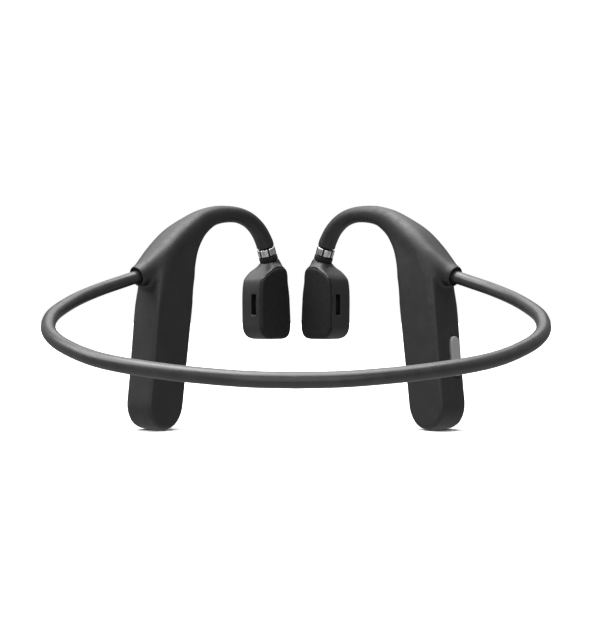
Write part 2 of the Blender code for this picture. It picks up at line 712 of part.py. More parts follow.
def build_port(ear, shell):
    """The USB-C receptacle, its opening in the shell, and the cover that swings up off it."""
    outer = POD_STATIONS[0, 3]
    floor = outer - COVER_RECESS
    place = (pod_centre(PORT_Z), 0, PORT_Z)

    def block(name, finish, half_width, half_length, corner, low, high, steps=3):
        outline = rounded_rectangle(half_width, half_length, corner, steps)
        rings = [[(x, ear.hand * w, y) for x, y in outline] for w in (low, high)]
        return ear.add(name, loft(rings), finish, place, POD_LEAN)

    half_width, half_length = PORT_WIDTH / 2, PORT_LENGTH / 2
    round_end = PILL_SHARE * half_width
    opening_end = PILL_SHARE * (half_width + GAP)
    opening = block("port_opening", None, half_width + GAP, half_length + GAP, opening_end, 0, outer)
    cover_half_width, top = COVER_WIDTH / 2, COVER_LENGTH / 2
    recess = block(
        "cover_recess", None, cover_half_width + GAP, top + GAP, COVER_CORNER + GAP, floor, outer + CUT_PAST
    )
    for tool in (opening, recess):
        combine(shell, "DIFFERENCE", tool)

    wall, back = RECEPTACLE_WALL, RECEPTACLE_BACK_W
    front = floor - RECEPTACLE_SET_BACK
    socket = block("usb_receptacle", "shield_steel", half_width, half_length, round_end, back, front)
    mouth = block(
        "port_mouth", None, half_width - wall, half_length - wall, round_end - wall, back + 2 * wall, outer
    )
    tongue_end = front - TONGUE_SET_BACK
    tongue_corner = TONGUE_HALF_SIZE[0] / 2
    tongue = block("port_tongue", None, *TONGUE_HALF_SIZE, tongue_corner, back + wall, tongue_end, 1)
    combine(socket, "DIFFERENCE", mouth)
    combine(socket, "UNION", tongue)

    cover_high = floor + GAP + COVER_THICKNESS
    levels = ((-COVER_THICKNESS, 0), (-COVER_EDGE, 0), (0, COVER_EDGE))
    rings = []
    for w, inset in levels:
        outline = rounded_rectangle(cover_half_width - inset, top - inset, COVER_CORNER, 3)
        rings.append([(x, ear.hand * w, y - top) for x, y in outline])
    hinge = (place[0] + top * sin(POD_LEAN), cover_high, PORT_Z + top * cos(POD_LEAN))
    cover = ear.add("port_cover", loft(rings), "black_rubber", hinge, POD_LEAN)
    cover.name = "port_cover"


# ---------------------------------------------------------------- neckband, wire and leads

def measured(route):
    """Distance along a route at each of its points."""
    return np.r_[0, np.cumsum(np.linalg.norm(np.diff(route, axis=0), axis=1))]


def stretch(route, start, end, spacing):
    """Evenly spaced points on a route between two distances along it."""
    distance = measured(route)
    wanted = np.linspace(start, end, 1 + round((end - start) / spacing))
    return np.stack([np.interp(wanted, distance, axis) for axis in route.T], axis=1)


def carried_frames(points, first_up):
    """Two directions across a route at each point, carried along it without twist."""
    tangents = np.array([unit(t) for t in np.gradient(points, axis=0)])
    up, frames = np.asarray(first_up, float), []
    for tangent in tangents:
        up = unit(up - tangent * np.dot(up, tangent))
        frames.append((up, np.cross(tangent, up)))
    return frames


def tube(points, frames, radius, sides, rise=0.0, bore=None):
    """A tube along points, raised off them in its own frame, with a bore right through if given."""
    def rings_of(size):
        rings = []
        for point, (up, side) in zip(points, frames):
            angles = 2 * pi * np.arange(sides) / sides
            rings.append([point + up * (rise + size * cos(a)) + side * size * sin(a) for a in angles])
        return rings

    if bore is None:
        return loft(rings_of(radius))
    bm = bmesh.new()
    outside, inside = (
        [[bm.verts.new(p) for p in ring] for ring in rings_of(size)] for size in (radius, bore)
    )
    path = outside + inside[::-1] + outside[:1]
    for low, high in zip(path, path[1:]):
        for i in range(sides):
            j = (i + 1) % sides
            bm.faces.new((low[i], low[j], high[j], high[i]))
    return bm


def full_route():
    """The right half of the wire's route, from the middle of the back to the transducer's neck."""
    u, z = neck_point(WIRE_END_DROP)
    ring_u, ring_z = neck_point(0)
    neck = [(ring_u, 0, ring_z), (u, 0, z)]
    hook = to_world(np.vstack([HOOK_STATIONS[:, :3], neck]))
    return spline(np.vstack([BAND_ROUTE, hook]), 6)


def place_near(route, point):
    return measured(route)[np.argmin(np.linalg.norm(route - point, axis=1))]


def build_band_run(name, points, first_up, mirror, parent, sheath_count):
    """A stretch of the wire and the leads, with the silicone sheath over its first points."""
    frames = carried_frames(points, first_up)
    flip = np.array((-1, 1, 1)) if mirror else np.array((1, 1, 1))
    points = points * flip
    frames = [(up * flip, side * flip) for up, side in frames]
    sheath = tube(points[:sheath_count], frames, BAND_RADIUS, BAND_SIDES, 0, BORE_RADIUS)
    solids = (
        ("sheath", sheath, "band_silicone"),
        ("wire", tube(points, frames, WIRE_RADIUS, 6, WIRE_RISE), "titanium"),
        ("leads", tube(points, frames, LEAD_RADIUS, 5, -LEAD_DROP), "lead_insulation"),
    )
    for kind, bm, finish in solids:
        obj = add_object(f"{name}_{kind}", bm, finish, parent)
        if parent:
            obj.location = -Vector(parent.location)
    bore = add_object(f"{name}_bore", tube(points, frames, BORE_RADIUS, BAND_SIDES), None, parent)
    if parent:
        bore.location = -Vector(parent.location)
    return bore


def main():
    for obj in list(bpy.data.objects):
        bpy.data.objects.remove(obj, do_unlink=True)

    route = full_route()
    hinge_point = BAND_ROUTE[HINGE_STATION]
    hinge_at = place_near(route, hinge_point)
    socket_at = place_near(route, to_world(HOOK_STATIONS[:1, :3])[0])
    band_up = (0, -sin(BAND_TILT), cos(BAND_TILT))

    half = stretch(route, 0, hinge_at - HINGE_GAP / 2, BAND_SPACING)
    centre = np.vstack([half[:0:-1] * (-1, 1, 1), half])
    build_band_run("centre", centre, band_up, False, None, len(centre))

    sheath = stretch(route, hinge_at + HINGE_GAP / 2, socket_at + SHEATH_INTO_SOCKET, BAND_SPACING)
    hook = stretch(route, socket_at + HOOK_WIRE_START, measured(route)[-1], HOOK_SPACING)
    arm = np.vstack([sheath, hook])

    for name in ("left", "right"):
        ear = Ear(name, hinge_point)
        mirror = name == "left"
        bore = build_band_run(f"{name}_arm", arm, band_up, mirror, ear.hinge, len(sheath))
        shell = build_pod_shells(ear)
        build_hook_sleeve(ear, bore)
        build_neck(ear)
        housing = build_transducer(ear)
        build_exciter(ear)
        if name == "left":
            build_battery(ear)
            build_multifunction_button(ear, housing)
        else:
            build_electronics(ear, shell)
            build_volume_rocker(ear, shell)
            build_port(ear, shell)


main()
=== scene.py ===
from math import cos, pi, radians, sin, sqrt

import bmesh
import bpy
import numpy as np
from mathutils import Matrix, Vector


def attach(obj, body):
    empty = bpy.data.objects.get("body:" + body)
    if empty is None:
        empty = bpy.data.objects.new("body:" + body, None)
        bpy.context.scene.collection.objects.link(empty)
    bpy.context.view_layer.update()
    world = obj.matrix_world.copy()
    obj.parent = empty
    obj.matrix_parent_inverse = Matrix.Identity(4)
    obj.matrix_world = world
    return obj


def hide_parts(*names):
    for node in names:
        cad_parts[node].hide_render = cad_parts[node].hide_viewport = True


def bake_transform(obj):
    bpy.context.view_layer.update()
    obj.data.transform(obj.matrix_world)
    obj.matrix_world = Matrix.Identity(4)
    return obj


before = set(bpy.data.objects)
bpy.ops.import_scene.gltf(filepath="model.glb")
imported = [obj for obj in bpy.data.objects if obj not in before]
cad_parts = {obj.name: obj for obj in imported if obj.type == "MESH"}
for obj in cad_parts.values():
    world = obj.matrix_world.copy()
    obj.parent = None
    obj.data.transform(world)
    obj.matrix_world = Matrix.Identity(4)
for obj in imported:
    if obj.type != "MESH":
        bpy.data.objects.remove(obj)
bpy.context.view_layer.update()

MM = 0.001

# ------------------------------ shapes, as in the CAD model

# Each ear's hook, pod and transducer lie in one upright plane, toed in towards the face. In it,
# u runs forward, w outward from the head and z up, from the point under the arch on the ear.
TOE_IN = radians(42)
EAR_X = 23.1 * MM

# Pod: u, z, half width, half depth, corner radius and the tighter radius of the edge between its
# inner face and its back edge, at stations from its foot up into the hook.
POD_STATIONS = MM * np.array([
    (-34.2, -61.0, 7.65, 6.3, 2.0, 1.15),
    (-33.1, -52.0, 7.70, 6.3, 2.0, 1.15),
    (-31.0, -34.0, 8.00, 6.3, 2.0, 1.15),
    (-29.5, -23.0, 8.05, 6.3, 2.1, 1.20),
    (-28.4, -18.5, 7.95, 6.2, 2.2, 1.80),
    (-26.8, -14.3, 7.35, 6.0, 2.3, 3.00),
    (-22.6, -8.7, 5.75, 5.1, 2.6, 4.20),
    (-17.0, -4.25, 3.85, 3.9, 2.4, 3.60),
    (-12.0, -1.6, 2.55, 2.8, 1.8, 2.30),
    (-7.5, 0.7, 1.90, 1.9, 1.3, 1.60),
])
POD_END_LENGTH = 8.8 * MM
POD_LEAN = radians(6.2)
# Where the sections lie round a rounded end, from its start to nearly its tip.
END_ANGLES = np.radians((8, 16, 24, 32, 40, 48, 56, 64, 71, 78, 84))

# Hook: u, w, z, half height, half width along w and corner radius at stations from the band's
# socket over the arch to the trim ring. It is wide and flat over the pod's shoulder, then round.
HOOK_STATIONS = MM * np.array([
    (-42.2, 0.5, -20.3, 3.70, 3.70, 3.70),
    (-39.6, 0.4, -19.3, 3.60, 4.10, 3.60),
    (-36.1, 0.3, -16.7, 3.75, 5.30, 3.60),
    (-31.4, 0.1, -12.8, 4.05, 6.20, 3.40),
    (-25.0, 0.0, -7.0, 3.95, 5.90, 3.20),
    (-17.5, 0.0, -2.1, 3.60, 4.50, 3.00),
    (-11.9, 0.0, 0.4, 3.60, 3.50, 3.00),
    (-5.0, 0.0, 2.15, 3.10, 2.95, 2.90),
    (3.0, 0.0, 2.6, 2.80, 2.75, 2.75),
    (9.3, 0.0, 1.2, 2.85, 2.80, 2.80),
    (14.2, 0.0, -2.0, 3.00, 3.00, 3.00),
    (17.4, 0.0, -6.2, 3.15, 3.15, 3.15),
    (18.2, 0.0, -8.2, 3.20, 3.20, 3.20),
])
# The skin is evened out over the shoulder, where the hook grows out of the pod.
SHOULDER_Z = (-30 * MM, -22 * MM)
SHOULDER_U = (-6 * MM, -14 * MM)
SHOULDER_MOUTH = (1.2 * MM, 5 * MM)
SHOULDER_ROUNDS = 120
SKIN_VOXEL = 0.28 * MM
SKIN_ROUNDS = 9

SOCKET_RADIUS = 3.0 * MM
SOCKET_DEPTH = 3.2 * MM
SOCKET_AXIS = 0.05 * MM
GROMMET_START = 1.3 * MM
GROMMET_END = 3.1 * MM
GROMMET_EDGE = 0.35 * MM
GROMMET_RADIUS = 2.98 * MM
GROMMET_BORE = 2.17 * MM

# Neck: the ring, the collar under it and the wire all lie on one line, leaning forward as it drops.
NECK_LEAN = radians(21.8)
RING_CENTRE = (18.8 * MM, -9.7 * MM)
RING_HEIGHT = 2.7 * MM
RING_RADIUS = 3.25 * MM
RING_EDGE = 0.3 * MM
RING_FLUTES = 6
SIDES_PER_FLUTE = 24
FLUTE_DEPTH = 0.35 * MM
# In shares of the space from one flute to the next.
FLUTE_HALF_WIDTH = 0.11
FLUTE_TURN = 0.06
COLLAR_HEIGHT = 1.7 * MM
COLLAR_RADIUS = 3.35 * MM
COLLAR_EDGE = 0.2 * MM
COLLAR_DROP = 2.5 * MM
NECK_BORE = 1.4 * MM
WIRE_END_DROP = 6.4 * MM

# Transducer: u, z, tilt in degrees, half width, half depth and corner radius, from the neck down.
TRANSDUCER_STATIONS = np.array([
    (19.95, -12.90, 20, 3.40, 3.40, 3.30),
    (19.90, -13.70, 19, 3.55, 3.75, 3.40),
    (19.55, -14.80, 16, 4.35, 4.50, 3.50),
    (19.40, -16.10, 9, 5.05, 5.25, 2.60),
    (18.55, -18.40, 3, 6.05, 5.35, 1.80),
    (18.05, -20.80, 0, 6.70, 5.35, 1.50),
    (18.20, -26.00, 0, 7.40, 5.35, 1.50),
    (18.60, -36.20, 0, 7.65, 5.35, 1.50),
]) * np.array([MM, MM, 1, MM, MM, MM])
TRANSDUCER_END_LENGTH = 4.9 * MM
TRANSDUCER_END_LOSS = 4.6 * MM
TRANSDUCER_END_SHIFT = 0.8 * MM
HOUSING_VOXEL = 0.18 * MM
HOUSING_ROUNDS = 4
# The pad's edges are tight, and round out where the housing's corners are larger than the second.
PAD_EDGE_RADIUS = 0.8 * MM
PAD_CORNER = 1.7 * MM
PAD_SPLIT = -4.05 * MM
SEAM = 0.14 * MM
# The top edge of the pad, as u and z from the back forward; above it the housing slopes away.
PAD_TOP = MM * np.array([
    (4.0, -28.0), (9.6, -23.0), (10.9, -21.0), (12.6, -19.2), (14.9, -17.5), (17.6, -16.2),
    (20.2, -15.6), (22.6, -15.8), (24.4, -17.0), (26.2, -19.5), (32.0, -23.0),
])
PAD_SLOPE_DEPTH = 2.4 * MM
PAD_SLOPE_SHIFT = (-0.3 * MM, 2.1 * MM)
# Bounds of the blocks that shape the pad and the slope, well clear of the transducer.
PAD_FOOT_Z = -46 * MM
BLOCK_U = (-40 * MM, 60 * MM)
BLOCK_RISE = 40 * MM
BLOCK_W = 20 * MM
BLOCK_STEP = 0.01 * MM
# The housing is evened out between the pad's top and the neck's end.
NECK_Z = (-17 * MM, -15.2 * MM)
NECK_ROUNDS = 40
SLOT_W = -1.1 * MM
SLOT_Z = -28.8 * MM
SLOT_WIDTH = 2.4 * MM
SLOT_HEIGHT = 7.3 * MM
SLOT_DEPTH = 3.4 * MM
SLOT_CORNER = 0.4 * MM
SLOT_LIP = 0.35 * MM
SCREEN_DEPTH = 1.7 * MM
SCREEN_PITCH = 0.42 * MM
SCREEN_WIRE_RADIUS = 0.07 * MM
SCREEN_MARGIN = 0.1 * MM

# Neckband: the right half of its route, from the middle of the back round to the socket.
BAND_ROUTE = MM * np.array([
    (0.0, -129.2, -48.2),
    (11.0, -128.5, -48.0),
    (22.0, -126.3, -47.3),
    (32.0, -123.1, -46.4),
    (43.3, -118.0, -45.0),
    (51.5, -112.4, -43.5),
    (58.6, -105.0, -41.4),
    (64.2, -97.0, -39.1),
    (68.0, -87.7, -36.4),
    (69.5, -76.2, -33.1),
    (68.7, -64.0, -30.3),
    (65.8, -52.5, -27.3),
    (61.0, -42.5, -24.4),
    (55.0, -34.4, -21.7),
])
BAND_TILT = radians(16)
BAND_RADIUS = 2.05 * MM
BORE_RADIUS = 1.25 * MM
WIRE_RADIUS = 0.45 * MM
WIRE_RISE = 0.45 * MM
LEAD_RADIUS = 0.35 * MM
LEAD_DROP = 0.55 * MM
SHEATH_INTO_SOCKET = 2.4 * MM
BAND_STEP = 1.2 * MM

# A cap's crown is its edge radius, the rise of its dome and how far in the dome reaches.
ROCKER_CROWN = (0.45 * MM, 0.08 * MM, 1.6 * MM)
ROCKER_W = 2.4 * MM
ROCKER_Z = -45.8 * MM
ROCKER_WIDTH = 4.3 * MM
ROCKER_LENGTH = 13.0 * MM
ROCKER_PROUD = 0.5 * MM
ROCKER_DEPTH = 1.9 * MM
ROCKER_HOLE_START = 2 * MM

PORT_Z = -56.4 * MM
PORT_WIDTH = 3.26 * MM
PORT_LENGTH = 8.94 * MM
PORT_FLOOR = -1.6 * MM
COVER_CROWN = (0.22 * MM, 0.05 * MM, 2.6 * MM)
COVER_WIDTH = 6.4 * MM
COVER_LENGTH = 12.6 * MM
COVER_THICKNESS = 0.65 * MM
COVER_RECESS = 0.85 * MM
COVER_CORNER = 1.9 * MM

BUTTON_CROWN = (0.4 * MM, 0.1 * MM, 2.6 * MM)
BUTTON_U = 18.6 * MM
BUTTON_Z = -28.5 * MM
BUTTON_WIDTH = 6.4 * MM
BUTTON_HEIGHT = 10.4 * MM
BUTTON_PROUD = 0.6 * MM
BUTTON_DEPTH = 1.4 * MM
BUTTON_WELL = 1.9 * MM
BUTTON_CORNER = 2.6 * MM
LEAST_CORNER = 0.3 * MM

MICROPHONE_Z = -34.0 * MM
MICROPHONE_HOLE = 0.5 * MM
MICROPHONE_DEPTH = 1.6 * MM
LAMP_Z = -45.5 * MM
LAMP_HOLE = 1.0 * MM
LAMP_HOLE_DEPTH = 1.5 * MM
LAMP_CROWN = (0.15 * MM, 0.08 * MM, 0.6 * MM)
LAMP_RADIUS = 0.8 * MM
LAMP_DEPTH = 1.2 * MM
LAMP_PROUD = 0.02 * MM

GAP = 0.3 * MM
CUT_PAST = 1 * MM
FLOOR_Z = -69.9 * MM
FLOOR_HALF_WIDTH = 6
# Brightness of the room's two ends, and of the light that the floor sends back up. Each span is
# the part of the room that its brightness changes over, as a direction's Y or Z.
NEAR_WALL = 0.22
FAR_WALL = 0.19
WALL_SPAN = (-0.3, 0.8)
FLOOR_BOUNCE = 0.45
BOUNCE_SPAN = (0.1, -0.9)
LIGHT_SPREAD = radians(55)
# Each soft light's source, as a direction from the object, and its strength.
LIGHTS = {
    "overhead": ((0, 0, 1), 4.5),
    "overhead_left": ((-0.6, 0, 0.8), 3.6),
    "overhead_far": ((0, 0.6, 0.8), 1.1),
    "front_fill": ((0, -1, 0.2), 0.85),
}
CAMERA_PLACE = (0, -0.41717, -0.03278)
CAMERA_SENSOR = 36
CAMERA_LENS = 68.35
CAMERA_SHIFT = 0.0103
CAMERA_CLIP = 0.01


# ------------------------------ mesh tools

def spline(rows, steps):
    """Rows read from a smooth curve through the given rows, with so many steps to a span."""
    padded = np.vstack([2 * rows[0] - rows[1], rows, 2 * rows[-1] - rows[-2]])
    result = []
    for before, start, end, after in zip(padded, padded[1:], padded[2:], padded[3:]):
        for t in np.arange(steps) / steps:
            cubic = 3 * (start - end) + after - before
            square = 2 * before - 5 * start + 4 * end - after
            result.append(start + 0.5 * t * (end - before + t * (square + t * cubic)))
    return np.array([*result, rows[-1]])


def unit(vector):
    """The direction of a vector, one long."""
    return np.asarray(vector, float) / np.linalg.norm(vector)


def loft(rings, closed=False, bm=None):
    """A mesh through rings of points, capped at its ends or, if closed, running round."""
    if bm is None:
        bm = bmesh.new()
    loops = [[bm.verts.new(point) for point in ring] for ring in rings]
    pairs = list(zip(loops, loops[1:]))
    if closed:
        pairs.append((loops[-1], loops[0]))
    for low, high in pairs:
        for i in range(len(low)):
            j = (i + 1) % len(low)
            bm.faces.new((low[i], low[j], high[j], high[i]))
    if not closed:
        bm.faces.new(loops[0])
        bm.faces.new(loops[-1])
    return bm


def rounded_rectangle(half_width, half_height, corners, steps):
    """Points round a rectangle with rounded corners; four radii start at the corner +, +."""
    if np.isscalar(corners):
        corners = (corners,) * 4
    points = []
    signs = ((1, 1), (-1, 1), (-1, -1), (1, -1))
    for quarter, ((x, y), corner) in enumerate(zip(signs, corners)):
        for step in range(steps + 1):
            angle = (quarter + step / steps) * pi / 2
            across = x * (half_width - corner) + corner * cos(angle)
            along = y * (half_height - corner) + corner * sin(angle)
            points.append((across, along))
    return points


def circle(radius, sides):
    """Points round a circle."""
    return [(radius * cos(a), radius * sin(a)) for a in 2 * pi * np.arange(sides) / sides]


def finished(name, bm, angle=40):
    """An object from a mesh in the making, shaded smooth up to an angle."""
    bmesh.ops.recalc_face_normals(bm, faces=bm.faces)
    mesh = bpy.data.meshes.new(name)
    bm.to_mesh(mesh)
    bm.free()
    return placed(name, mesh, angle)


def placed(name, mesh, angle):
    """An object in the scene from a mesh, whose points remember where they are at rest."""
    mesh.shade_smooth()
    mesh.set_sharp_from_angle(angle=radians(angle))
    places = np.empty(3 * len(mesh.vertices), np.float32)
    mesh.vertices.foreach_get("co", places)
    mesh.attributes.new("rest", "FLOAT_VECTOR", "POINT").data.foreach_set("vector", places)
    obj = bpy.data.objects.new(name, mesh)
    bpy.context.scene.collection.objects.link(obj)
    return obj


def soften(mesh, rounds, amount_at=None):
    """Draw each vertex towards its neighbours' middle, by its own amount at its own place."""
    places = np.empty(3 * len(mesh.vertices), np.float32)
    mesh.vertices.foreach_get("co", places)
    places = places.reshape(-1, 3).astype(float)
    edges = np.empty(2 * len(mesh.edges), np.int32)
    mesh.edges.foreach_get("vertices", edges)
    start, end = edges.reshape(-1, 2).T
    here, there = np.r_[start, end], np.r_[end, start]
    neighbours = np.bincount(here, minlength=len(places))
    amount = 0.5 * (amount_at(places) if amount_at else np.ones(len(places)))
    for _ in range(rounds):
        sums = [np.bincount(here, axis[there], len(places)) for axis in places.T]
        places += amount[:, None] * (np.stack(sums, 1) / neighbours[:, None] - places)
    mesh.vertices.foreach_set("co", places.ravel().astype(np.float32))
    mesh.update()


def rising(value, span):
    """Smoothly from 0 to 1 as a value goes from the start of a span to its end."""
    t = np.clip((value - span[0]) / (span[1] - span[0]), 0, 1)
    return t * t * (3 - 2 * t)


def moulded(name, additions, cuts, voxel, softness, within=None, more=None):
    """Closed meshes joined, cut and kept within another, then remade as even, soft-edged faces."""
    helpers = []
    for bm in (*additions, *cuts, *([within] if within else [])):
        bmesh.ops.recalc_face_normals(bm, faces=bm.faces)
        mesh = bpy.data.meshes.new("helper")
        bm.to_mesh(mesh)
        bm.free()
        helper = bpy.data.objects.new("helper", mesh)
        bpy.context.scene.collection.objects.link(helper)
        helpers.append(helper)
    base = helpers[0]
    for number, helper in enumerate(helpers[1:], 1):
        modifier = base.modifiers.new("combine", "BOOLEAN")
        modifier.operation = "UNION" if number < len(additions) else "DIFFERENCE"
        if number == len(additions) + len(cuts):
            modifier.operation = "INTERSECT"
        modifier.solver = "EXACT"
        modifier.object = helper
    remesh = base.modifiers.new("remesh", "REMESH")
    remesh.mode = "VOXEL"
    remesh.voxel_size = voxel
    graph = bpy.context.evaluated_depsgraph_get()
    mesh = bpy.data.meshes.new_from_object(base.evaluated_get(graph))
    mesh.name = name
    for helper in helpers:
        bpy.data.objects.remove(helper, do_unlink=True)
    soften(mesh, softness)
    if more:
        soften(mesh, *more)
    return placed(name, mesh, 180)


# ------------------------------ the two ears

class Ear:
    """One ear's plane: turns u, w, z into the frame's X, Y, Z."""

    def __init__(self, name):
        self.name = name
        self.sign = 1 if name == "right" else -1
        self.body = f"{name}_arm"

    def point(self, u, w, z):
        x = EAR_X - u * sin(TOE_IN) + w * cos(TOE_IN)
        return Vector((self.sign * x, u * cos(TOE_IN) + w * sin(TOE_IN), z))

    def inverse(self, places):
        """The u, w and z of many points in the frame."""
        x, y, z = np.asarray(places).T
        aside = self.sign * x - EAR_X
        return y * cos(TOE_IN) - aside * sin(TOE_IN), aside * cos(TOE_IN) + y * sin(TOE_IN), z

    def ring(self, points):
        return [self.point(*p) for p in points]


def section(ear, centre, across, half_width, half_depth, corners):
    """A rounded rectangle, across the given direction in the ear's plane and along w."""
    limit = 0.96 * min(half_width, half_depth)
    corners = [min(corner, limit) for corner in corners]
    outline = rounded_rectangle(half_width, half_depth, corners, 6)
    return [ear.point(centre[0] + a * across[0], w, centre[1] + a * across[1]) for a, w in outline]


def end_sizes(length, loss, half_width, half_depth, corner):
    """Distance past the last full section, half width and half depth, towards a rounded end."""
    for angle in END_ANGLES:
        distance = length * sin(angle)
        into_corner = max(0.0, distance - length + corner)
        depth_loss = corner - sqrt(corner**2 - into_corner**2)
        yield distance, half_width - loss * (1 - cos(angle)), half_depth - depth_loss


def pod_rings(ear):
    """Sections of the pod from its rounded foot up into the hook."""
    rows = spline(POD_STATIONS, 6)
    tangents = np.gradient(rows[:, :2], axis=0)

    def corners(corner, crease):
        return (corner, corner, corner, crease)

    rings = []
    foot, up = rows[0], unit(tangents[0])
    across = (-up[1], up[0])
    sizes = list(end_sizes(POD_END_LENGTH, foot[2], *foot[2:5]))
    for distance, half_width, half_depth in sizes[::-1]:
        centre = foot[:2] - distance * up
        rings.append(section(ear, centre, across, half_width, half_depth, corners(*foot[4:])))
    for row, tangent in zip(rows, tangents):
        along = unit(tangent)
        across = (-along[1], along[0])
        rings.append(section(ear, row[:2], across, row[2], row[3], corners(*row[4:])))
    return rings


def hook_rings(ear):
    """Sections of the hook's sleeve from the band's socket to the trim ring."""
    rows = spline(HOOK_STATIONS, 6)
    tangents = np.gradient(rows[:, :3], axis=0)
    rings = []
    for row, tangent in zip(rows, tangents):
        along = unit(tangent)
        across = unit(np.cross(along, (0, 1, 0)))
        other = np.cross(along, across)
        outline = rounded_rectangle(row[3], row[4], min(row[3:]), 10)
        rings.append(ear.ring([row[:3] + a * across + b * other for a, b in outline]))
    return rings


def transducer_rings(ear):
    """Sections of the transducer from its neck down to its foot."""
    rows = spline(TRANSDUCER_STATIONS, 5)

    def corners(corner):
        tight = min(corner, PAD_EDGE_RADIUS + max(0.0, corner - PAD_CORNER))
        return (corner, corner, tight, tight)

    rings = []
    for u, z, tilt, half_width, half_depth, corner in rows:
        across = (cos(radians(tilt)), sin(radians(tilt)))
        rings.append(section(ear, (u, z), across, half_width, half_depth, corners(corner)))
    u, z, _, half_width, half_depth, corner = rows[-1]
    sizes = end_sizes(TRANSDUCER_END_LENGTH, TRANSDUCER_END_LOSS, half_width, half_depth, corner)
    for distance, end_width, end_depth in sizes:
        shift = TRANSDUCER_END_SHIFT * (half_width - end_width) / TRANSDUCER_END_LOSS
        centre = (u + shift, z - distance)
        rings.append(section(ear, centre, (1, 0), end_width, end_depth, corners(corner)))
    return rings


def pod_centre(z):
    """The middle of the pod's width at a height, as u."""
    return np.interp(z, POD_STATIONS[:, 1], POD_STATIONS[:, 0])


def pod_back(z):
    """The pod's back edge at a height, as u."""
    return pod_centre(z) - np.interp(z, POD_STATIONS[:, 1], POD_STATIONS[:, 2]) / cos(POD_LEAN)


def facing(ear, place, lean, levels, back=False):
    """Rings facing outward at heights along w or, facing back, at depths forward of a place."""
    rings = []
    for level, outline in levels:
        ring = []
        for across, along in outline:
            forward, aside = (level, across) if back else (across, level)
            u = place[0] + forward * cos(lean) + along * sin(lean)
            z = place[2] - forward * sin(lean) + along * cos(lean)
            ring.append(ear.point(u, place[1] + aside, z))
        rings.append(ring)
    return rings


def pill(half_width, half_length, inset=0.0, steps=8):
    """A long rounded outline with round ends."""
    half_width, half_length = half_width - inset, half_length - inset
    return rounded_rectangle(half_width, half_length, 0.97 * half_width, steps)


def turned_rings(ear, base, along, profile, sides, shaped=None):
    """Rings of points turned about a line in the ear's plane, from (radius, height) pairs."""
    along = unit(along)
    across = unit(np.cross(along, (0, 1, 0)))
    other = np.cross(along, across)
    turns = 2 * pi * np.arange(sides) / sides
    rings = []
    for radius, height in profile:
        centre = np.asarray(base, float) + height * along
        ring = []
        for turn in turns:
            reach = shaped(radius, turn / (2 * pi)) if shaped else radius
            ring.append(centre + reach * (cos(turn) * across + sin(turn) * other))
        rings.append(ear.ring(ring))
    return rings


def turned(ear, name, base, along, profile, sides, angle=40, shaped=None):
    """A closed ring-shaped piece turned from a profile that loops round."""
    rings = turned_rings(ear, base, along, profile, sides, shaped)
    return finished(name, loft(rings, closed=True), angle)


def rounded_profile(inner, outer, low, high, radius, steps=4):
    """The looped profile of a plain ring with rounded edges on its outside."""
    points = [(inner, low)]
    for turn in range(steps + 1):
        angle = -pi / 2 + turn / steps * pi / 2
        points.append((outer - radius + radius * cos(angle), low + radius + radius * sin(angle)))
    for turn in range(steps + 1):
        angle = turn / steps * pi / 2
        points.append((outer - radius + radius * cos(angle), high - radius + radius * sin(angle)))
    points.append((inner, high))
    return points


def neck_point(drop):
    """A point on the neck's line, the given distance past the ring's centre, as u and z."""
    u = RING_CENTRE[0] + drop * sin(NECK_LEAN)
    z = RING_CENTRE[1] - drop * cos(NECK_LEAN)
    return u, z


# ------------------------------ materials

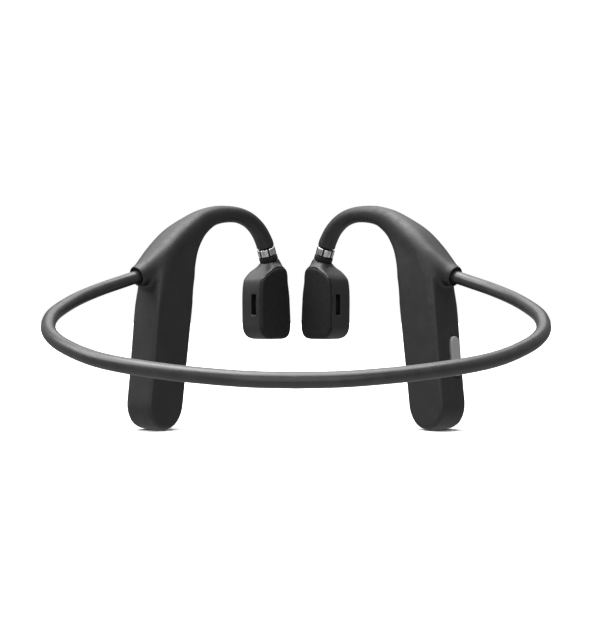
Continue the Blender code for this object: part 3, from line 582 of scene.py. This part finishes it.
class Material:
    """A Principled material that is built up layer by layer from procedural nodes."""

    def __init__(self, name, roughness, metallic=0.0, moving=True):
        self.data = bpy.data.materials.new(name)
        self.data.use_nodes = True
        self.nodes = self.data.node_tree.nodes
        self.links = self.data.node_tree.links
        self.shader = self.nodes["Principled BSDF"]
        self.shader.inputs["Roughness"].default_value = roughness
        self.shader.inputs["Metallic"].default_value = metallic
        if moving:
            source = self.node("ShaderNodeAttribute")
            source.attribute_name = "rest"
            self.place = source.outputs["Vector"]
        else:
            self.place = self.node("ShaderNodeTexCoord").outputs["Object"]
        self.normal = None

    def node(self, kind, **settings):
        node = self.nodes.new(kind)
        for key, value in settings.items():
            setattr(node, key, value)
        return node

    def pattern(self, kind, size, stretch=(1, 1, 1)):
        """A texture with features of about the given size in metres."""
        mapping = self.node("ShaderNodeMapping")
        mapping.inputs["Scale"].default_value = [s / size for s in stretch]
        self.links.new(self.place, mapping.inputs["Vector"])
        texture = self.node(kind)
        texture.inputs["Scale"].default_value = 1.0
        self.links.new(mapping.outputs["Vector"], texture.inputs["Vector"])
        return texture

    def noise(self, size, detail=2.0, stretch=(1, 1, 1)):
        """Soft noise from 0 to 1."""
        noise = self.pattern("ShaderNodeTexNoise", size, stretch)
        noise.inputs["Detail"].default_value = detail
        return noise.outputs["Fac"]

    def cells(self, size):
        """Distance to the nearest of scattered points, for pebbled grain."""
        return self.pattern("ShaderNodeTexVoronoi", size).outputs["Distance"]

    def ranged(self, value, low, high, start, end):
        """A value's run from low to high, as one from start to end."""
        amount = self.node("ShaderNodeMapRange")
        names = ("From Min", "From Max", "To Min", "To Max")
        for name, number in zip(names, (low, high, start, end)):
            amount.inputs[name].default_value = number
        self.links.new(value, amount.inputs["Value"])
        return amount.outputs["Result"]

    def colour(self, factor, dark, light):
        """Base colour running from dark to light over the middle of the factor's range."""
        ramp = self.node("ShaderNodeValToRGB")
        ramp.color_ramp.elements[0].position = 0.35
        ramp.color_ramp.elements[0].color = (*dark, 1)
        ramp.color_ramp.elements[1].position = 0.65
        ramp.color_ramp.elements[1].color = (*light, 1)
        self.links.new(factor, ramp.inputs["Fac"])
        self.links.new(ramp.outputs["Color"], self.shader.inputs["Base Color"])
        return ramp.outputs["Color"]

    def worn(self, base, edge, low=0.53, high=0.60):
        """Edges that stand proud take another colour, a little polished by handling."""
        pointiness = self.node("ShaderNodeNewGeometry").outputs["Pointiness"]
        mix = self.node("ShaderNodeMix", data_type="RGBA")
        self.links.new(self.ranged(pointiness, low, high, 0, 1), mix.inputs["Factor"])
        self.links.new(base, mix.inputs["A"])
        mix.inputs["B"].default_value = (*edge, 1)
        self.links.new(mix.outputs["Result"], self.shader.inputs["Base Color"])

    def rough(self, factor, low, high):
        """Roughness that follows a factor between two values."""
        amount = self.ranged(factor, 0.3, 0.7, low, high)
        self.links.new(amount, self.shader.inputs["Roughness"])

    def bump(self, height, depth):
        """Relief of the given depth in metres, over any relief already there."""
        bump = self.node("ShaderNodeBump")
        bump.inputs["Strength"].default_value = 1.0
        bump.inputs["Distance"].default_value = depth
        self.links.new(height, bump.inputs["Height"])
        if self.normal:
            self.links.new(self.normal, bump.inputs["Normal"])
        self.normal = bump.outputs["Normal"]
        self.links.new(self.normal, self.shader.inputs["Normal"])


def grey(value):
    """A grey as red, green and blue."""
    return (value, value, value)


def soft_touch(name, level, roughness, moving=True):
    """Soft-touch coating: even, fine pebbled grain, faint mottling and slightly polished edges."""
    m = Material(name, roughness, moving=moving)
    mottle = m.noise(6 * MM, 4)
    base = m.colour(mottle, grey(0.90 * level), grey(1.10 * level))
    m.worn(base, grey(1.5 * level))
    m.rough(m.noise(2.5 * MM, 3), roughness - 0.04, roughness + 0.05)
    m.bump(m.cells(0.22 * MM), 0.006 * MM)
    m.bump(m.noise(0.12 * MM), 0.004 * MM)
    m.shader.inputs["Specular IOR Level"].default_value = 0.45
    return m.data


def satin_silicone(name, level, roughness):
    """Extruded silicone: satin, with faint lines along it and a trace of dust."""
    m = Material(name, roughness)
    base = m.colour(m.noise(4 * MM, 5), grey(0.85 * level), grey(1.15 * level))
    m.worn(base, grey(1.3 * level), 0.6, 0.8)
    m.rough(m.noise(1.8 * MM, 4), roughness - 0.03, roughness + 0.06)
    m.bump(m.noise(0.35 * MM, 3, (0.12, 0.12, 1)), 0.004 * MM)
    m.bump(m.noise(0.10 * MM), 0.0025 * MM)
    return m.data


def matte_rubber(name, level, roughness):
    """Rubber with a dull, pebbled face and faint mottling."""
    m = Material(name, roughness)
    m.colour(m.noise(1.5 * MM, 5), grey(0.8 * level), grey(1.25 * level))
    m.rough(m.noise(0.8 * MM, 3), roughness - 0.05, roughness + 0.07)
    m.bump(m.cells(0.16 * MM), 0.008 * MM)
    m.shader.inputs["Specular IOR Level"].default_value = 0.3
    return m.data


def plated(name, level, roughness):
    """Bright plating with a soft haze and faint turning marks."""
    m = Material(name, roughness, 1.0)
    m.colour(m.noise(1.2 * MM, 4), grey(0.94 * level), grey(1.04 * level))
    m.rough(m.noise(0.5 * MM, 4), roughness - 0.02, roughness + 0.06)
    m.bump(m.noise(0.3 * MM, 2, (0.2, 0.2, 3)), 0.0015 * MM)
    return m.data


def metal(name, colour, roughness, lines=(1, 1, 1), moving=False):
    """Plain or drawn metal: streaks along the long way of the lines, and slight tarnish."""
    m = Material(name, roughness, 1.0, moving)
    dark = [0.8 * c for c in colour]
    m.colour(m.noise(2 * MM, 5), dark, colour)
    m.rough(m.noise(0.9 * MM, 4), roughness - 0.05, roughness + 0.12)
    m.bump(m.noise(0.25 * MM, 3, lines), 0.004 * MM)
    return m.data


def coil_winding(name):
    """Enamelled copper wire wound in close turns about the coil's own axis."""
    m = Material(name, 0.3, 1.0, False)
    m.colour(m.noise(1 * MM, 3), (0.62, 0.24, 0.10), (0.86, 0.42, 0.20))
    m.bump(m.noise(0.11 * MM, 1, (1, 1, 4)), 0.02 * MM)
    m.rough(m.noise(0.6 * MM), 0.25, 0.4)
    return m.data


def circuit_board(name):
    """Green solder mask with copper tracks showing through as lighter lines."""
    m = Material(name, 0.4, 0.0, False)
    tracks = m.pattern("ShaderNodeTexBrick", 1.1 * MM)
    tracks.inputs["Color1"].default_value = (0.008, 0.06, 0.022, 1)
    tracks.inputs["Color2"].default_value = (0.010, 0.085, 0.030, 1)
    tracks.inputs["Mortar"].default_value = (0.03, 0.16, 0.06, 1)
    tracks.inputs["Mortar Size"].default_value = 0.05
    m.links.new(tracks.outputs["Color"], m.shader.inputs["Base Color"])
    m.bump(tracks.outputs["Fac"], 0.02 * MM)
    m.rough(m.noise(0.7 * MM), 0.35, 0.5)
    return m.data


def milky_lens(name):
    """Translucent plastic that lets a little light in."""
    m = Material(name, 0.2)
    m.colour(m.noise(0.6 * MM, 3), (0.70, 0.70, 0.68), (0.82, 0.82, 0.80))
    m.rough(m.noise(0.4 * MM), 0.16, 0.28)
    m.bump(m.noise(0.2 * MM), 0.002 * MM)
    m.shader.inputs["Subsurface Weight"].default_value = 0.3
    m.shader.inputs["Subsurface Scale"].default_value = 0.4 * MM
    return m.data


def dress(obj, material):
    """Give an object one material and no other."""
    obj.data.materials.clear()
    obj.data.materials.append(material)
    return obj


def piece(obj, material, body, slot, *nodes):
    """Give a new piece its material and its body, and hide the CAD nodes it stands for; the finish
    slot is not used.
    """
    dress(obj, material)
    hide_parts(*nodes)
    if body:
        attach(obj, body)
    return obj


# ------------------------------ pods and hooks

def socket_line():
    """The socket's mouth and the way into it, in u, w, z."""
    start, after = HOOK_STATIONS[0, :3], HOOK_STATIONS[1, :3]
    return start, unit(after - start)


def build_pod_and_hook(ear, material):
    """The seamless soft skin over the pod and the hook, with its socket and openings."""
    mouth, inward = socket_line()
    plug = ((SOCKET_AXIS, -CUT_PAST), (SOCKET_RADIUS, -CUT_PAST), (SOCKET_RADIUS, SOCKET_DEPTH),
            (SOCKET_AXIS, SOCKET_DEPTH))
    cuts = [loft(turned_rings(ear, mouth, inward, plug, 48))]
    if ear.name == "right":
        cuts += right_pod_cuts(ear)

    def shoulder(places):
        u, _, z = ear.inverse(places)
        from_mouth = np.linalg.norm(places - np.array(ear.point(*mouth)), axis=1)
        amount = rising(z, SHOULDER_Z) * rising(u, SHOULDER_U)
        return amount * rising(from_mouth, SHOULDER_MOUTH)

    skin = moulded(f"{ear.name}_pod_and_hook", [loft(hook_rings(ear)), loft(pod_rings(ear))], cuts,
                   SKIN_VOXEL, SKIN_ROUNDS, more=(SHOULDER_ROUNDS, shoulder))
    piece(skin, material, ear.body, "sleeve_silicone", f"{ear.name}_hook_sleeve",
          f"{ear.name}_pod_outer_shell", f"{ear.name}_pod_inner_cover")


def right_pod_cuts(ear):
    """Openings for the rocker, the port and its cover, the microphone and the lamp."""
    outer = POD_STATIONS[0, 3]
    floor = outer - COVER_RECESS
    back = (pod_back(ROCKER_Z), ROCKER_W, ROCKER_Z)
    hole = pill(ROCKER_WIDTH / 2 + GAP, ROCKER_LENGTH / 2 + GAP)
    levels = ((-ROCKER_HOLE_START, hole), (ROCKER_DEPTH + CUT_PAST, hole))
    cuts = [loft(facing(ear, back, POD_LEAN, levels, back=True))]
    port = (pod_centre(PORT_Z), 0, PORT_Z)
    corner = COVER_CORNER + GAP
    recess = rounded_rectangle(COVER_WIDTH / 2 + GAP, COVER_LENGTH / 2 + GAP, corner, 6)
    opening = pill(PORT_WIDTH / 2 + GAP, PORT_LENGTH / 2 + GAP)
    for levels in (((floor, recess), (outer + CUT_PAST, recess)),
                   ((PORT_FLOOR, opening), (outer, opening))):
        cuts.append(loft(facing(ear, port, POD_LEAN, levels)))
    for radius, z, depth in ((MICROPHONE_HOLE, MICROPHONE_Z, MICROPHONE_DEPTH),
                             (LAMP_HOLE, LAMP_Z, LAMP_HOLE_DEPTH)):
        place = (pod_centre(z), 0, z)
        hole = circle(radius, 24)
        levels = ((outer - depth, hole), (outer + CUT_PAST, hole))
        cuts.append(loft(facing(ear, place, 0, levels)))
    return cuts


def build_grommet(ear, material):
    """The dark ring round the band, inside the socket."""
    mouth, inward = socket_line()
    ends = (GROMMET_START, GROMMET_END)
    profile = rounded_profile(GROMMET_BORE, GROMMET_RADIUS, *ends, GROMMET_EDGE)
    grommet = turned(ear, f"{ear.name}_socket_grommet", mouth, inward, profile, 48)
    piece(grommet, material, ear.body, "black_rubber", f"{ear.name}_band_grommet")


# ------------------------------ necks and transducers

def fluted(radius, share):
    """A radius drawn in where a flute runs down the ring; share is the place round it, 0 to 1."""
    turn = RING_FLUTES * share - FLUTE_TURN
    off = abs(turn - round(turn)) / FLUTE_HALF_WIDTH
    if radius < NECK_BORE + FLUTE_DEPTH or off > 1:
        return radius
    return radius - FLUTE_DEPTH * cos(off * pi / 2)


def neck_line(drop):
    """A point on the neck's line and the way down it, in u, w, z."""
    u, z = neck_point(drop)
    down = (sin(NECK_LEAN), 0, -cos(NECK_LEAN))
    return (u, 0, z), down


def build_neck(ear, bright, dark):
    """The bright ring, with dark flutes down its side, and the dark collar under it."""
    half = RING_HEIGHT / 2
    profile = rounded_profile(NECK_BORE, RING_RADIUS, -half, half, RING_EDGE, 5)
    base, down = neck_line(0)
    sides = SIDES_PER_FLUTE * RING_FLUTES
    ring = turned(ear, f"{ear.name}_bright_ring", base, down, profile, sides, 30, fluted)
    piece(ring, bright, ear.body, "chrome", f"{ear.name}_trim_ring")
    ring.data.materials.append(dark)
    for face in ring.data.polygons:
        level, side = divmod(face.index, sides)
        turn = (side + 0.5) / SIDES_PER_FLUTE - FLUTE_TURN
        if abs(turn - round(turn)) < FLUTE_HALF_WIDTH and profile[level][0] > NECK_BORE:
            face.material_index = 1

    half = COLLAR_HEIGHT / 2
    base, down = neck_line(COLLAR_DROP)
    profile = rounded_profile(NECK_BORE, COLLAR_RADIUS, -half, half, COLLAR_EDGE)
    collar = turned(ear, f"{ear.name}_dark_collar", base, down, profile, 72)
    piece(collar, dark, ear.body, "black_rubber", f"{ear.name}_neck_collar")


def pad_region(ear, split, margin):
    """A block round the pad: inward of the split, and below the pad's top edge, with a margin."""
    top = spline(PAD_TOP, 6) + (0, margin)
    outline = [(PAD_TOP[0, 0], PAD_FOOT_Z), *top, (PAD_TOP[-1, 0], PAD_FOOT_Z)]
    return loft([[ear.point(u, w, z) for u, z in outline] for w in (2 * PAD_SPLIT, split)])


def sloped_region(ear):
    """All of the transducer but a slope round the pad's top edge, which runs back up to the neck."""
    face = -TRANSDUCER_STATIONS[-1, 4]
    top = spline(PAD_TOP, 6)
    foot = [(u, PAD_FOOT_Z) for u in BLOCK_U]
    levels = []
    for share, w in ((-1, face - PAD_SLOPE_DEPTH), (1, face + PAD_SLOPE_DEPTH)):
        levels.append((w, [foot[0], *(top + share * np.array(PAD_SLOPE_SHIFT)), foot[1]]))
    far = [foot[0], *(top + (0, BLOCK_RISE)), foot[1]]
    levels += [(levels[-1][0] + BLOCK_STEP, far), (BLOCK_W, far)]
    return loft([[ear.point(u, w, z) for u, z in outline] for w, outline in levels])


def paint_slot_shade(ear, housing, back, dark):
    """Painted shade: the walls of the sound slot, behind its rounded lip, take the darker black
    rubber so that the recess looks shaded.
    """
    housing.data.materials.append(dark)
    faces = housing.data.polygons
    centres = np.empty(3 * len(faces))
    faces.foreach_get("center", centres)
    u, w, z = ear.inverse(centres.reshape(-1, 3))
    inside = (u > back + SLOT_LIP) & (u < back + SLOT_DEPTH + GAP)
    inside &= abs(w - SLOT_W) < SLOT_WIDTH / 2 + GAP
    inside &= abs(z - SLOT_Z) < SLOT_HEIGHT / 2 + GAP
    faces.foreach_set("material_index", inside.astype(np.int32))


def build_transducer(ear, shell, skin, dark, steel):
    """The sound housing with its slot, the pad against the skin, and the screen in the slot."""
    back = TRANSDUCER_STATIONS[-2, 0] - TRANSDUCER_STATIONS[-2, 3]
    place = (back, SLOT_W, SLOT_Z)
    slot = rounded_rectangle(SLOT_WIDTH / 2, SLOT_HEIGHT / 2, SLOT_CORNER, 4)
    cuts = [loft(facing(ear, place, 0, ((-CUT_PAST, slot), (SLOT_DEPTH, slot)), back=True))]
    if ear.name == "left":
        outer = TRANSDUCER_STATIONS[-1, 4]
        corner = BUTTON_CORNER + GAP
        hole = rounded_rectangle(BUTTON_WIDTH / 2 + GAP, BUTTON_HEIGHT / 2 + GAP, corner, 8)
        levels = ((outer - BUTTON_WELL, hole), (outer + CUT_PAST, hole))
        cuts.append(loft(facing(ear, (BUTTON_U, 0, BUTTON_Z), 0, levels)))
    cuts.append(pad_region(ear, PAD_SPLIT + SEAM / 2, SEAM / 2))
    body = loft(transducer_rings(ear))

    def neck(places):
        return rising(places[:, 2], NECK_Z)

    housing = moulded(f"{ear.name}_sound_housing", [body], cuts, HOUSING_VOXEL, HOUSING_ROUNDS,
                      sloped_region(ear), (NECK_ROUNDS, neck))
    piece(housing, shell, ear.body, "shell_plastic", f"{ear.name}_transducer_housing")
    # Painted shade on the walls of the sound slot.
    paint_slot_shade(ear, housing, back, dark)

    region = pad_region(ear, PAD_SPLIT - SEAM / 2, -SEAM / 2)
    pad = moulded(f"{ear.name}_skin_face", [loft(transducer_rings(ear))], [], HOUSING_VOXEL,
                  HOUSING_ROUNDS, region)
    piece(pad, skin, ear.body, "pad_silicone", f"{ear.name}_contact_pad")
    build_screen(ear, back, steel)


def build_screen(ear, back, steel):
    """Fine woven wire across the sound slot."""
    pitch, radius = SCREEN_PITCH, SCREEN_WIRE_RADIUS
    bm = bmesh.new()
    half_width, half_height = SLOT_WIDTH / 2 + SCREEN_MARGIN, SLOT_HEIGHT / 2 + SCREEN_MARGIN
    counts = (int(2 * half_width / pitch), int(2 * half_height / pitch))
    outline = circle(radius, 6)

    def wire(points):
        rings = []
        for point, after in zip(points, points[1:] + [2 * points[-1] - points[-2]]):
            along = unit(after - point)
            across = unit(np.cross(along, (0.3, 0.9, 0.2)))
            other = np.cross(along, across)
            rings.append(ear.ring([point + a * across + b * other for a, b in outline]))
        loft(rings, bm=bm)

    for direction, (count, other_count) in enumerate((counts, counts[::-1])):
        for i in range(count + 1):
            side = (i - count / 2) * pitch
            points = []
            for step in range(4 * other_count + 1):
                run = (step / 4 - other_count / 2) * pitch
                weave = radius * cos(pi * (step / 4 + i)) * (1 if direction else -1)
                w, z = (run, side) if direction else (side, run)
                u = back + SCREEN_DEPTH + weave
                points.append(np.array((u, SLOT_W + w, SLOT_Z + z)))
            wire(points)
    screen = finished(f"{ear.name}_slot_screen", bm, 60)
    piece(screen, steel, ear.body, "motor_steel", f"{ear.name}_slot_mesh")


# ------------------------------ buttons, port cover and lamp

def crowned(outline_at, low, high, crown):
    """Levels of a cap: straight sides, a rounded edge, then a slightly domed top."""
    edge, dome, reach = crown
    levels = [(low, outline_at(0.0)), (high - edge, outline_at(0.0))]
    for turn in range(1, 6):
        angle = turn / 5 * pi / 2
        levels.append((high - edge + edge * sin(angle), outline_at(edge * (1 - cos(angle)))))
    for share in (0.3, 0.55, 0.75, 0.9):
        rise = dome * (1 - (1 - share) ** 2)
        levels.append((high + rise, outline_at(edge + share * reach)))
    return levels


def build_rocker(ear, material):
    """The pill-shaped volume rocker in the pod's back edge."""
    place = (pod_back(ROCKER_Z), ROCKER_W, ROCKER_Z)
    half_width, half_length = ROCKER_WIDTH / 2, ROCKER_LENGTH / 2

    def outline(inset):
        return pill(half_width, half_length, inset, 10)

    levels = crowned(outline, -ROCKER_DEPTH, ROCKER_PROUD, ROCKER_CROWN)
    levels = [(-height, ring) for height, ring in levels]
    rings = facing(ear, place, POD_LEAN, levels, back=True)
    rocker = finished("volume_pill", loft(rings), 50)
    piece(rocker, material, "volume_rocker", "grey_button", "volume_rocker")


def build_button(ear, material):
    """The multifunction button in the transducer's outer face."""
    outer = TRANSDUCER_STATIONS[-1, 4]

    def outline(inset):
        corner = max(BUTTON_CORNER - inset, LEAST_CORNER)
        return rounded_rectangle(BUTTON_WIDTH / 2 - inset, BUTTON_HEIGHT / 2 - inset, corner, 10)

    levels = crowned(outline, -BUTTON_DEPTH, BUTTON_PROUD, BUTTON_CROWN)
    rings = facing(ear, (BUTTON_U, outer, BUTTON_Z), 0, levels)
    button = finished("press_button", loft(rings), 50)
    piece(button, material, "multifunction_button", "shell_plastic", "left_multifunction_button")


def build_port_cover(ear, material):
    """The rubber flap over the USB port, flush with the pod's outer face."""
    floor = POD_STATIONS[0, 3] - COVER_RECESS
    half_width, half_length = COVER_WIDTH / 2, COVER_LENGTH / 2

    def outline(inset):
        corner = max(COVER_CORNER - inset, LEAST_CORNER)
        return rounded_rectangle(half_width - inset, half_length - inset, corner, 8)

    low, high = floor + GAP, floor + GAP + COVER_THICKNESS
    levels = crowned(outline, low, high, COVER_CROWN)
    rings = facing(ear, (pod_centre(PORT_Z), 0, PORT_Z), POD_LEAN, levels)
    cover = finished("port_flap", loft(rings), 50)
    piece(cover, material, "port_cover", "black_rubber", "port_cover")


def build_lamp(ear, material):
    """The status lamp's small round lens in the pod's outer face."""
    outer = POD_STATIONS[0, 3]
    place = (pod_centre(LAMP_Z), outer, LAMP_Z)

    def outline(inset):
        return circle(LAMP_RADIUS - inset, 32)

    levels = crowned(outline, -LAMP_DEPTH, LAMP_PROUD, LAMP_CROWN)
    lamp = finished("lamp_lens", loft(facing(ear, place, 0, levels)), 50)
    piece(lamp, material, ear.body, "lamp_lens", "right_status_lamp")


# ------------------------------ neckband, wire and leads

def measured(route):
    """Distance along a route at each of its points."""
    return np.r_[0, np.cumsum(np.linalg.norm(np.diff(route, axis=0), axis=1))]


def full_route():
    """The right half of the wire's route, from the middle of the back to the transducer's neck."""
    ring_u, ring_z = neck_point(0)
    u, z = neck_point(WIRE_END_DROP)
    right = Ear("right")
    places = [*HOOK_STATIONS[:, :3], (ring_u, 0, ring_z), (u, 0, z)]
    return spline(np.vstack([BAND_ROUTE, [right.point(*p) for p in places]]), 12)


def tube_along(points, radius, rise, sides, sign, bore=None):
    """A tube along points, raised off them; with a bore, a hollow one that is open at its ends."""
    tangents = np.array([unit(t) for t in np.gradient(points, axis=0)])
    tangents[0] = (1, 0, 0)
    up = np.array((0, -sin(BAND_TILT), cos(BAND_TILT)))
    mirror = np.array((sign, 1, 1))
    outside, inside = [], []
    for point, tangent in zip(points, tangents):
        up = unit(up - tangent * np.dot(up, tangent))
        side = np.cross(tangent, up)
        for size, rings in ((radius, outside), (bore, inside)):
            if size:
                ring = [point + up * (rise + a) + side * b for a, b in circle(size, sides)]
                rings.append([mirror * p for p in ring])
    return loft(outside + inside[::-1], closed=bool(bore))


def evenly(route, start, end, spacing):
    """Evenly spaced points on a route between two distances along it."""
    distance = measured(route)
    wanted = np.linspace(start, end, 1 + round((end - start) / spacing))
    return np.stack([np.interp(wanted, distance, axis) for axis in route.T], axis=1)


def build_band(ear, silicone, titanium, insulation):
    """Half of the neckband, its spring wire and its leads."""
    route = full_route()
    mouth, _ = socket_line()
    distance = measured(route)
    socket = np.array(Ear("right").point(*mouth))
    nearest = np.argmin(np.linalg.norm(route - socket, axis=1))
    sheath = evenly(route, 0, distance[nearest] + SHEATH_INTO_SOCKET, BAND_STEP)
    core = evenly(route, 0, distance[-1], BAND_STEP)
    sign = ear.sign
    parts = (
        ("band", tube_along(sheath, BAND_RADIUS, 0, 40, sign, BORE_RADIUS), silicone,
         "band_silicone", ("sheath", "centre_sheath")),
        ("spring_wire", tube_along(core, WIRE_RADIUS, WIRE_RISE, 12, sign), titanium,
         "titanium", ("wire", "centre_wire")),
        ("leads", tube_along(core, LEAD_RADIUS, -LEAD_DROP, 10, sign), insulation,
         "lead_insulation", ("leads", "centre_leads")),
    )
    for name, bm, material, slot, (node, centre) in parts:
        obj = finished(f"{ear.name}_{name}", bm, 50)
        piece(obj, material, None, slot, f"{ear.name}_arm_{node}", centre)
        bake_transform(obj)


# ------------------------------ CAD nodes that stay

def dress_inner_pieces():
    """Real finishes for the CAD solids inside the pods and the transducers."""
    steel = metal("drawn_steel", (0.52, 0.52, 0.53), 0.32, (4, 4, 0.4))
    nickel = metal("nickel_plate", (0.68, 0.65, 0.60), 0.2)
    copper = coil_winding("copper_winding")
    board = circuit_board("green_board")
    tin = metal("tinned_steel", (0.66, 0.66, 0.65), 0.28, (0.5, 3, 3))
    foil = metal("pouch_foil", (0.74, 0.74, 0.75), 0.36, (1, 1, 0.5))
    black = soft_touch("switch_black", 0.03, 0.45, False)
    wanted = {
        "left_battery_cell": foil, "left_battery_board": board, "left_multifunction_switch": black,
        "right_main_board": board, "right_radio_shield_can": tin, "right_microphone": tin,
        "right_usb_receptacle": tin, "right_volume_up_switch": black,
        "right_volume_down_switch": black,
    }
    for side in ("left", "right"):
        wanted[f"{side}_exciter_yoke"] = steel
        wanted[f"{side}_exciter_magnet"] = nickel
        wanted[f"{side}_exciter_top_plate"] = steel
        wanted[f"{side}_voice_coil"] = copper
        wanted[f"{side}_spring_plate"] = steel
    for name, material in wanted.items():
        dress(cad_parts[name], material)


# ------------------------------ floor, light and camera

def build_floor():
    """A wide pale floor under the pods' feet."""
    bm = bmesh.new()
    bmesh.ops.create_grid(bm, x_segments=24, y_segments=24, size=FLOOR_HALF_WIDTH)
    for vertex in bm.verts:
        vertex.co.z = FLOOR_Z
    floor = finished("floor", bm)
    m = Material("pale_floor", 0.85)
    m.colour(m.noise(0.3, 3), grey(0.86), grey(0.88))
    m.bump(m.noise(4 * MM, 3), 0.02 * MM)
    m.shader.inputs["Specular IOR Level"].default_value = 0.1
    dress(floor, m.data)
    floor.visible_diffuse = False
    floor.visible_glossy = False


def soft_light(name, source, strength):
    """Even light from a broad patch of the ceiling or a wall, in the direction of its source."""
    light = bpy.data.lights.new(name, "SUN")
    light.energy = strength
    light.angle = LIGHT_SPREAD
    obj = bpy.data.objects.new(name, light)
    obj.rotation_euler = Vector(source).to_track_quat("Z", "Y").to_euler()
    bpy.context.scene.collection.objects.link(obj)


def build_room():
    """An even room, slightly brighter at its near end, with light coming back up off the floor."""
    world = bpy.data.worlds.new("studio")
    bpy.context.scene.world = world
    world.use_nodes = True
    nodes, links = world.node_tree.nodes, world.node_tree.links
    nodes.clear()
    direction = nodes.new("ShaderNodeTexCoord")
    split = nodes.new("ShaderNodeSeparateXYZ")
    links.new(direction.outputs["Generated"], split.inputs["Vector"])
    total = nodes.new("ShaderNodeMath")
    parts = (("Y", WALL_SPAN, NEAR_WALL, FAR_WALL), ("Z", BOUNCE_SPAN, 0, FLOOR_BOUNCE))
    for number, (axis, span, start, end) in enumerate(parts):
        ramp = nodes.new("ShaderNodeMapRange")
        ramp.interpolation_type = "SMOOTHSTEP"
        ramp.inputs["From Min"].default_value, ramp.inputs["From Max"].default_value = span
        ramp.inputs["To Min"].default_value = start
        ramp.inputs["To Max"].default_value = end
        links.new(split.outputs[axis], ramp.inputs["Value"])
        links.new(ramp.outputs["Result"], total.inputs[number])
    room = nodes.new("ShaderNodeBackground")
    links.new(total.outputs["Value"], room.inputs["Strength"])
    backdrop = nodes.new("ShaderNodeBackground")
    rays = nodes.new("ShaderNodeLightPath")
    mix = nodes.new("ShaderNodeMixShader")
    output = nodes.new("ShaderNodeOutputWorld")
    for background in (room, backdrop):
        background.inputs["Color"].default_value = (1, 1, 1, 1)
    links.new(rays.outputs["Is Camera Ray"], mix.inputs["Fac"])
    links.new(room.outputs["Background"], mix.inputs[1])
    links.new(backdrop.outputs["Background"], mix.inputs[2])
    links.new(mix.outputs["Shader"], output.inputs["Surface"])


def build_light():
    """The room and its soft lights."""
    build_room()
    for name, (source, strength) in LIGHTS.items():
        soft_light(name, source, strength)


def build_camera():
    """A level camera behind the wearer's head, looking forward at the band."""
    camera = bpy.data.cameras.new("camera")
    camera.sensor_width = CAMERA_SENSOR
    camera.lens = CAMERA_LENS
    camera.shift_x = CAMERA_SHIFT
    camera.clip_start = CAMERA_CLIP
    obj = bpy.data.objects.new("camera", camera)
    obj.location = CAMERA_PLACE
    obj.rotation_euler = (pi / 2, 0, 0)
    bpy.context.scene.collection.objects.link(obj)
    bpy.context.scene.camera = obj
    bpy.context.scene.view_settings.view_transform = "Standard"


# ------------------------------ everything together

def main():
    """Build every piece, then the floor, the light and the camera."""
    skin = soft_touch("soft_silicone", 0.020, 0.50)
    shell = soft_touch("soft_touch_plastic", 0.020, 0.48)
    pad = matte_rubber("pad_silicone", 0.010, 0.66)
    dark = matte_rubber("black_rubber", 0.009, 0.62)
    band = satin_silicone("band_silicone", 0.034, 0.30)
    bright = plated("bright_plating", 0.66, 0.36)
    screen = metal("screen_wire", (0.035, 0.035, 0.035), 0.5, moving=True)
    titanium = metal("titanium_wire", (0.46, 0.45, 0.43), 0.3, (3, 3, 3), True)
    insulation = matte_rubber("lead_insulation", 0.05, 0.5)

    for side in ("left", "right"):
        ear = Ear(side)
        build_pod_and_hook(ear, skin)
        build_grommet(ear, dark)
        build_neck(ear, bright, dark)
        build_transducer(ear, shell, pad, dark, screen)
        build_band(ear, band, titanium, insulation)
    build_button(Ear("left"), shell)
    right = Ear("right")
    build_rocker(right, soft_touch("satin_grey", 0.30, 0.42))
    build_port_cover(right, dark)
    build_lamp(right, milky_lens("milky_lens"))
    dress_inner_pieces()
    build_floor()
    build_light()
    build_camera()


main()
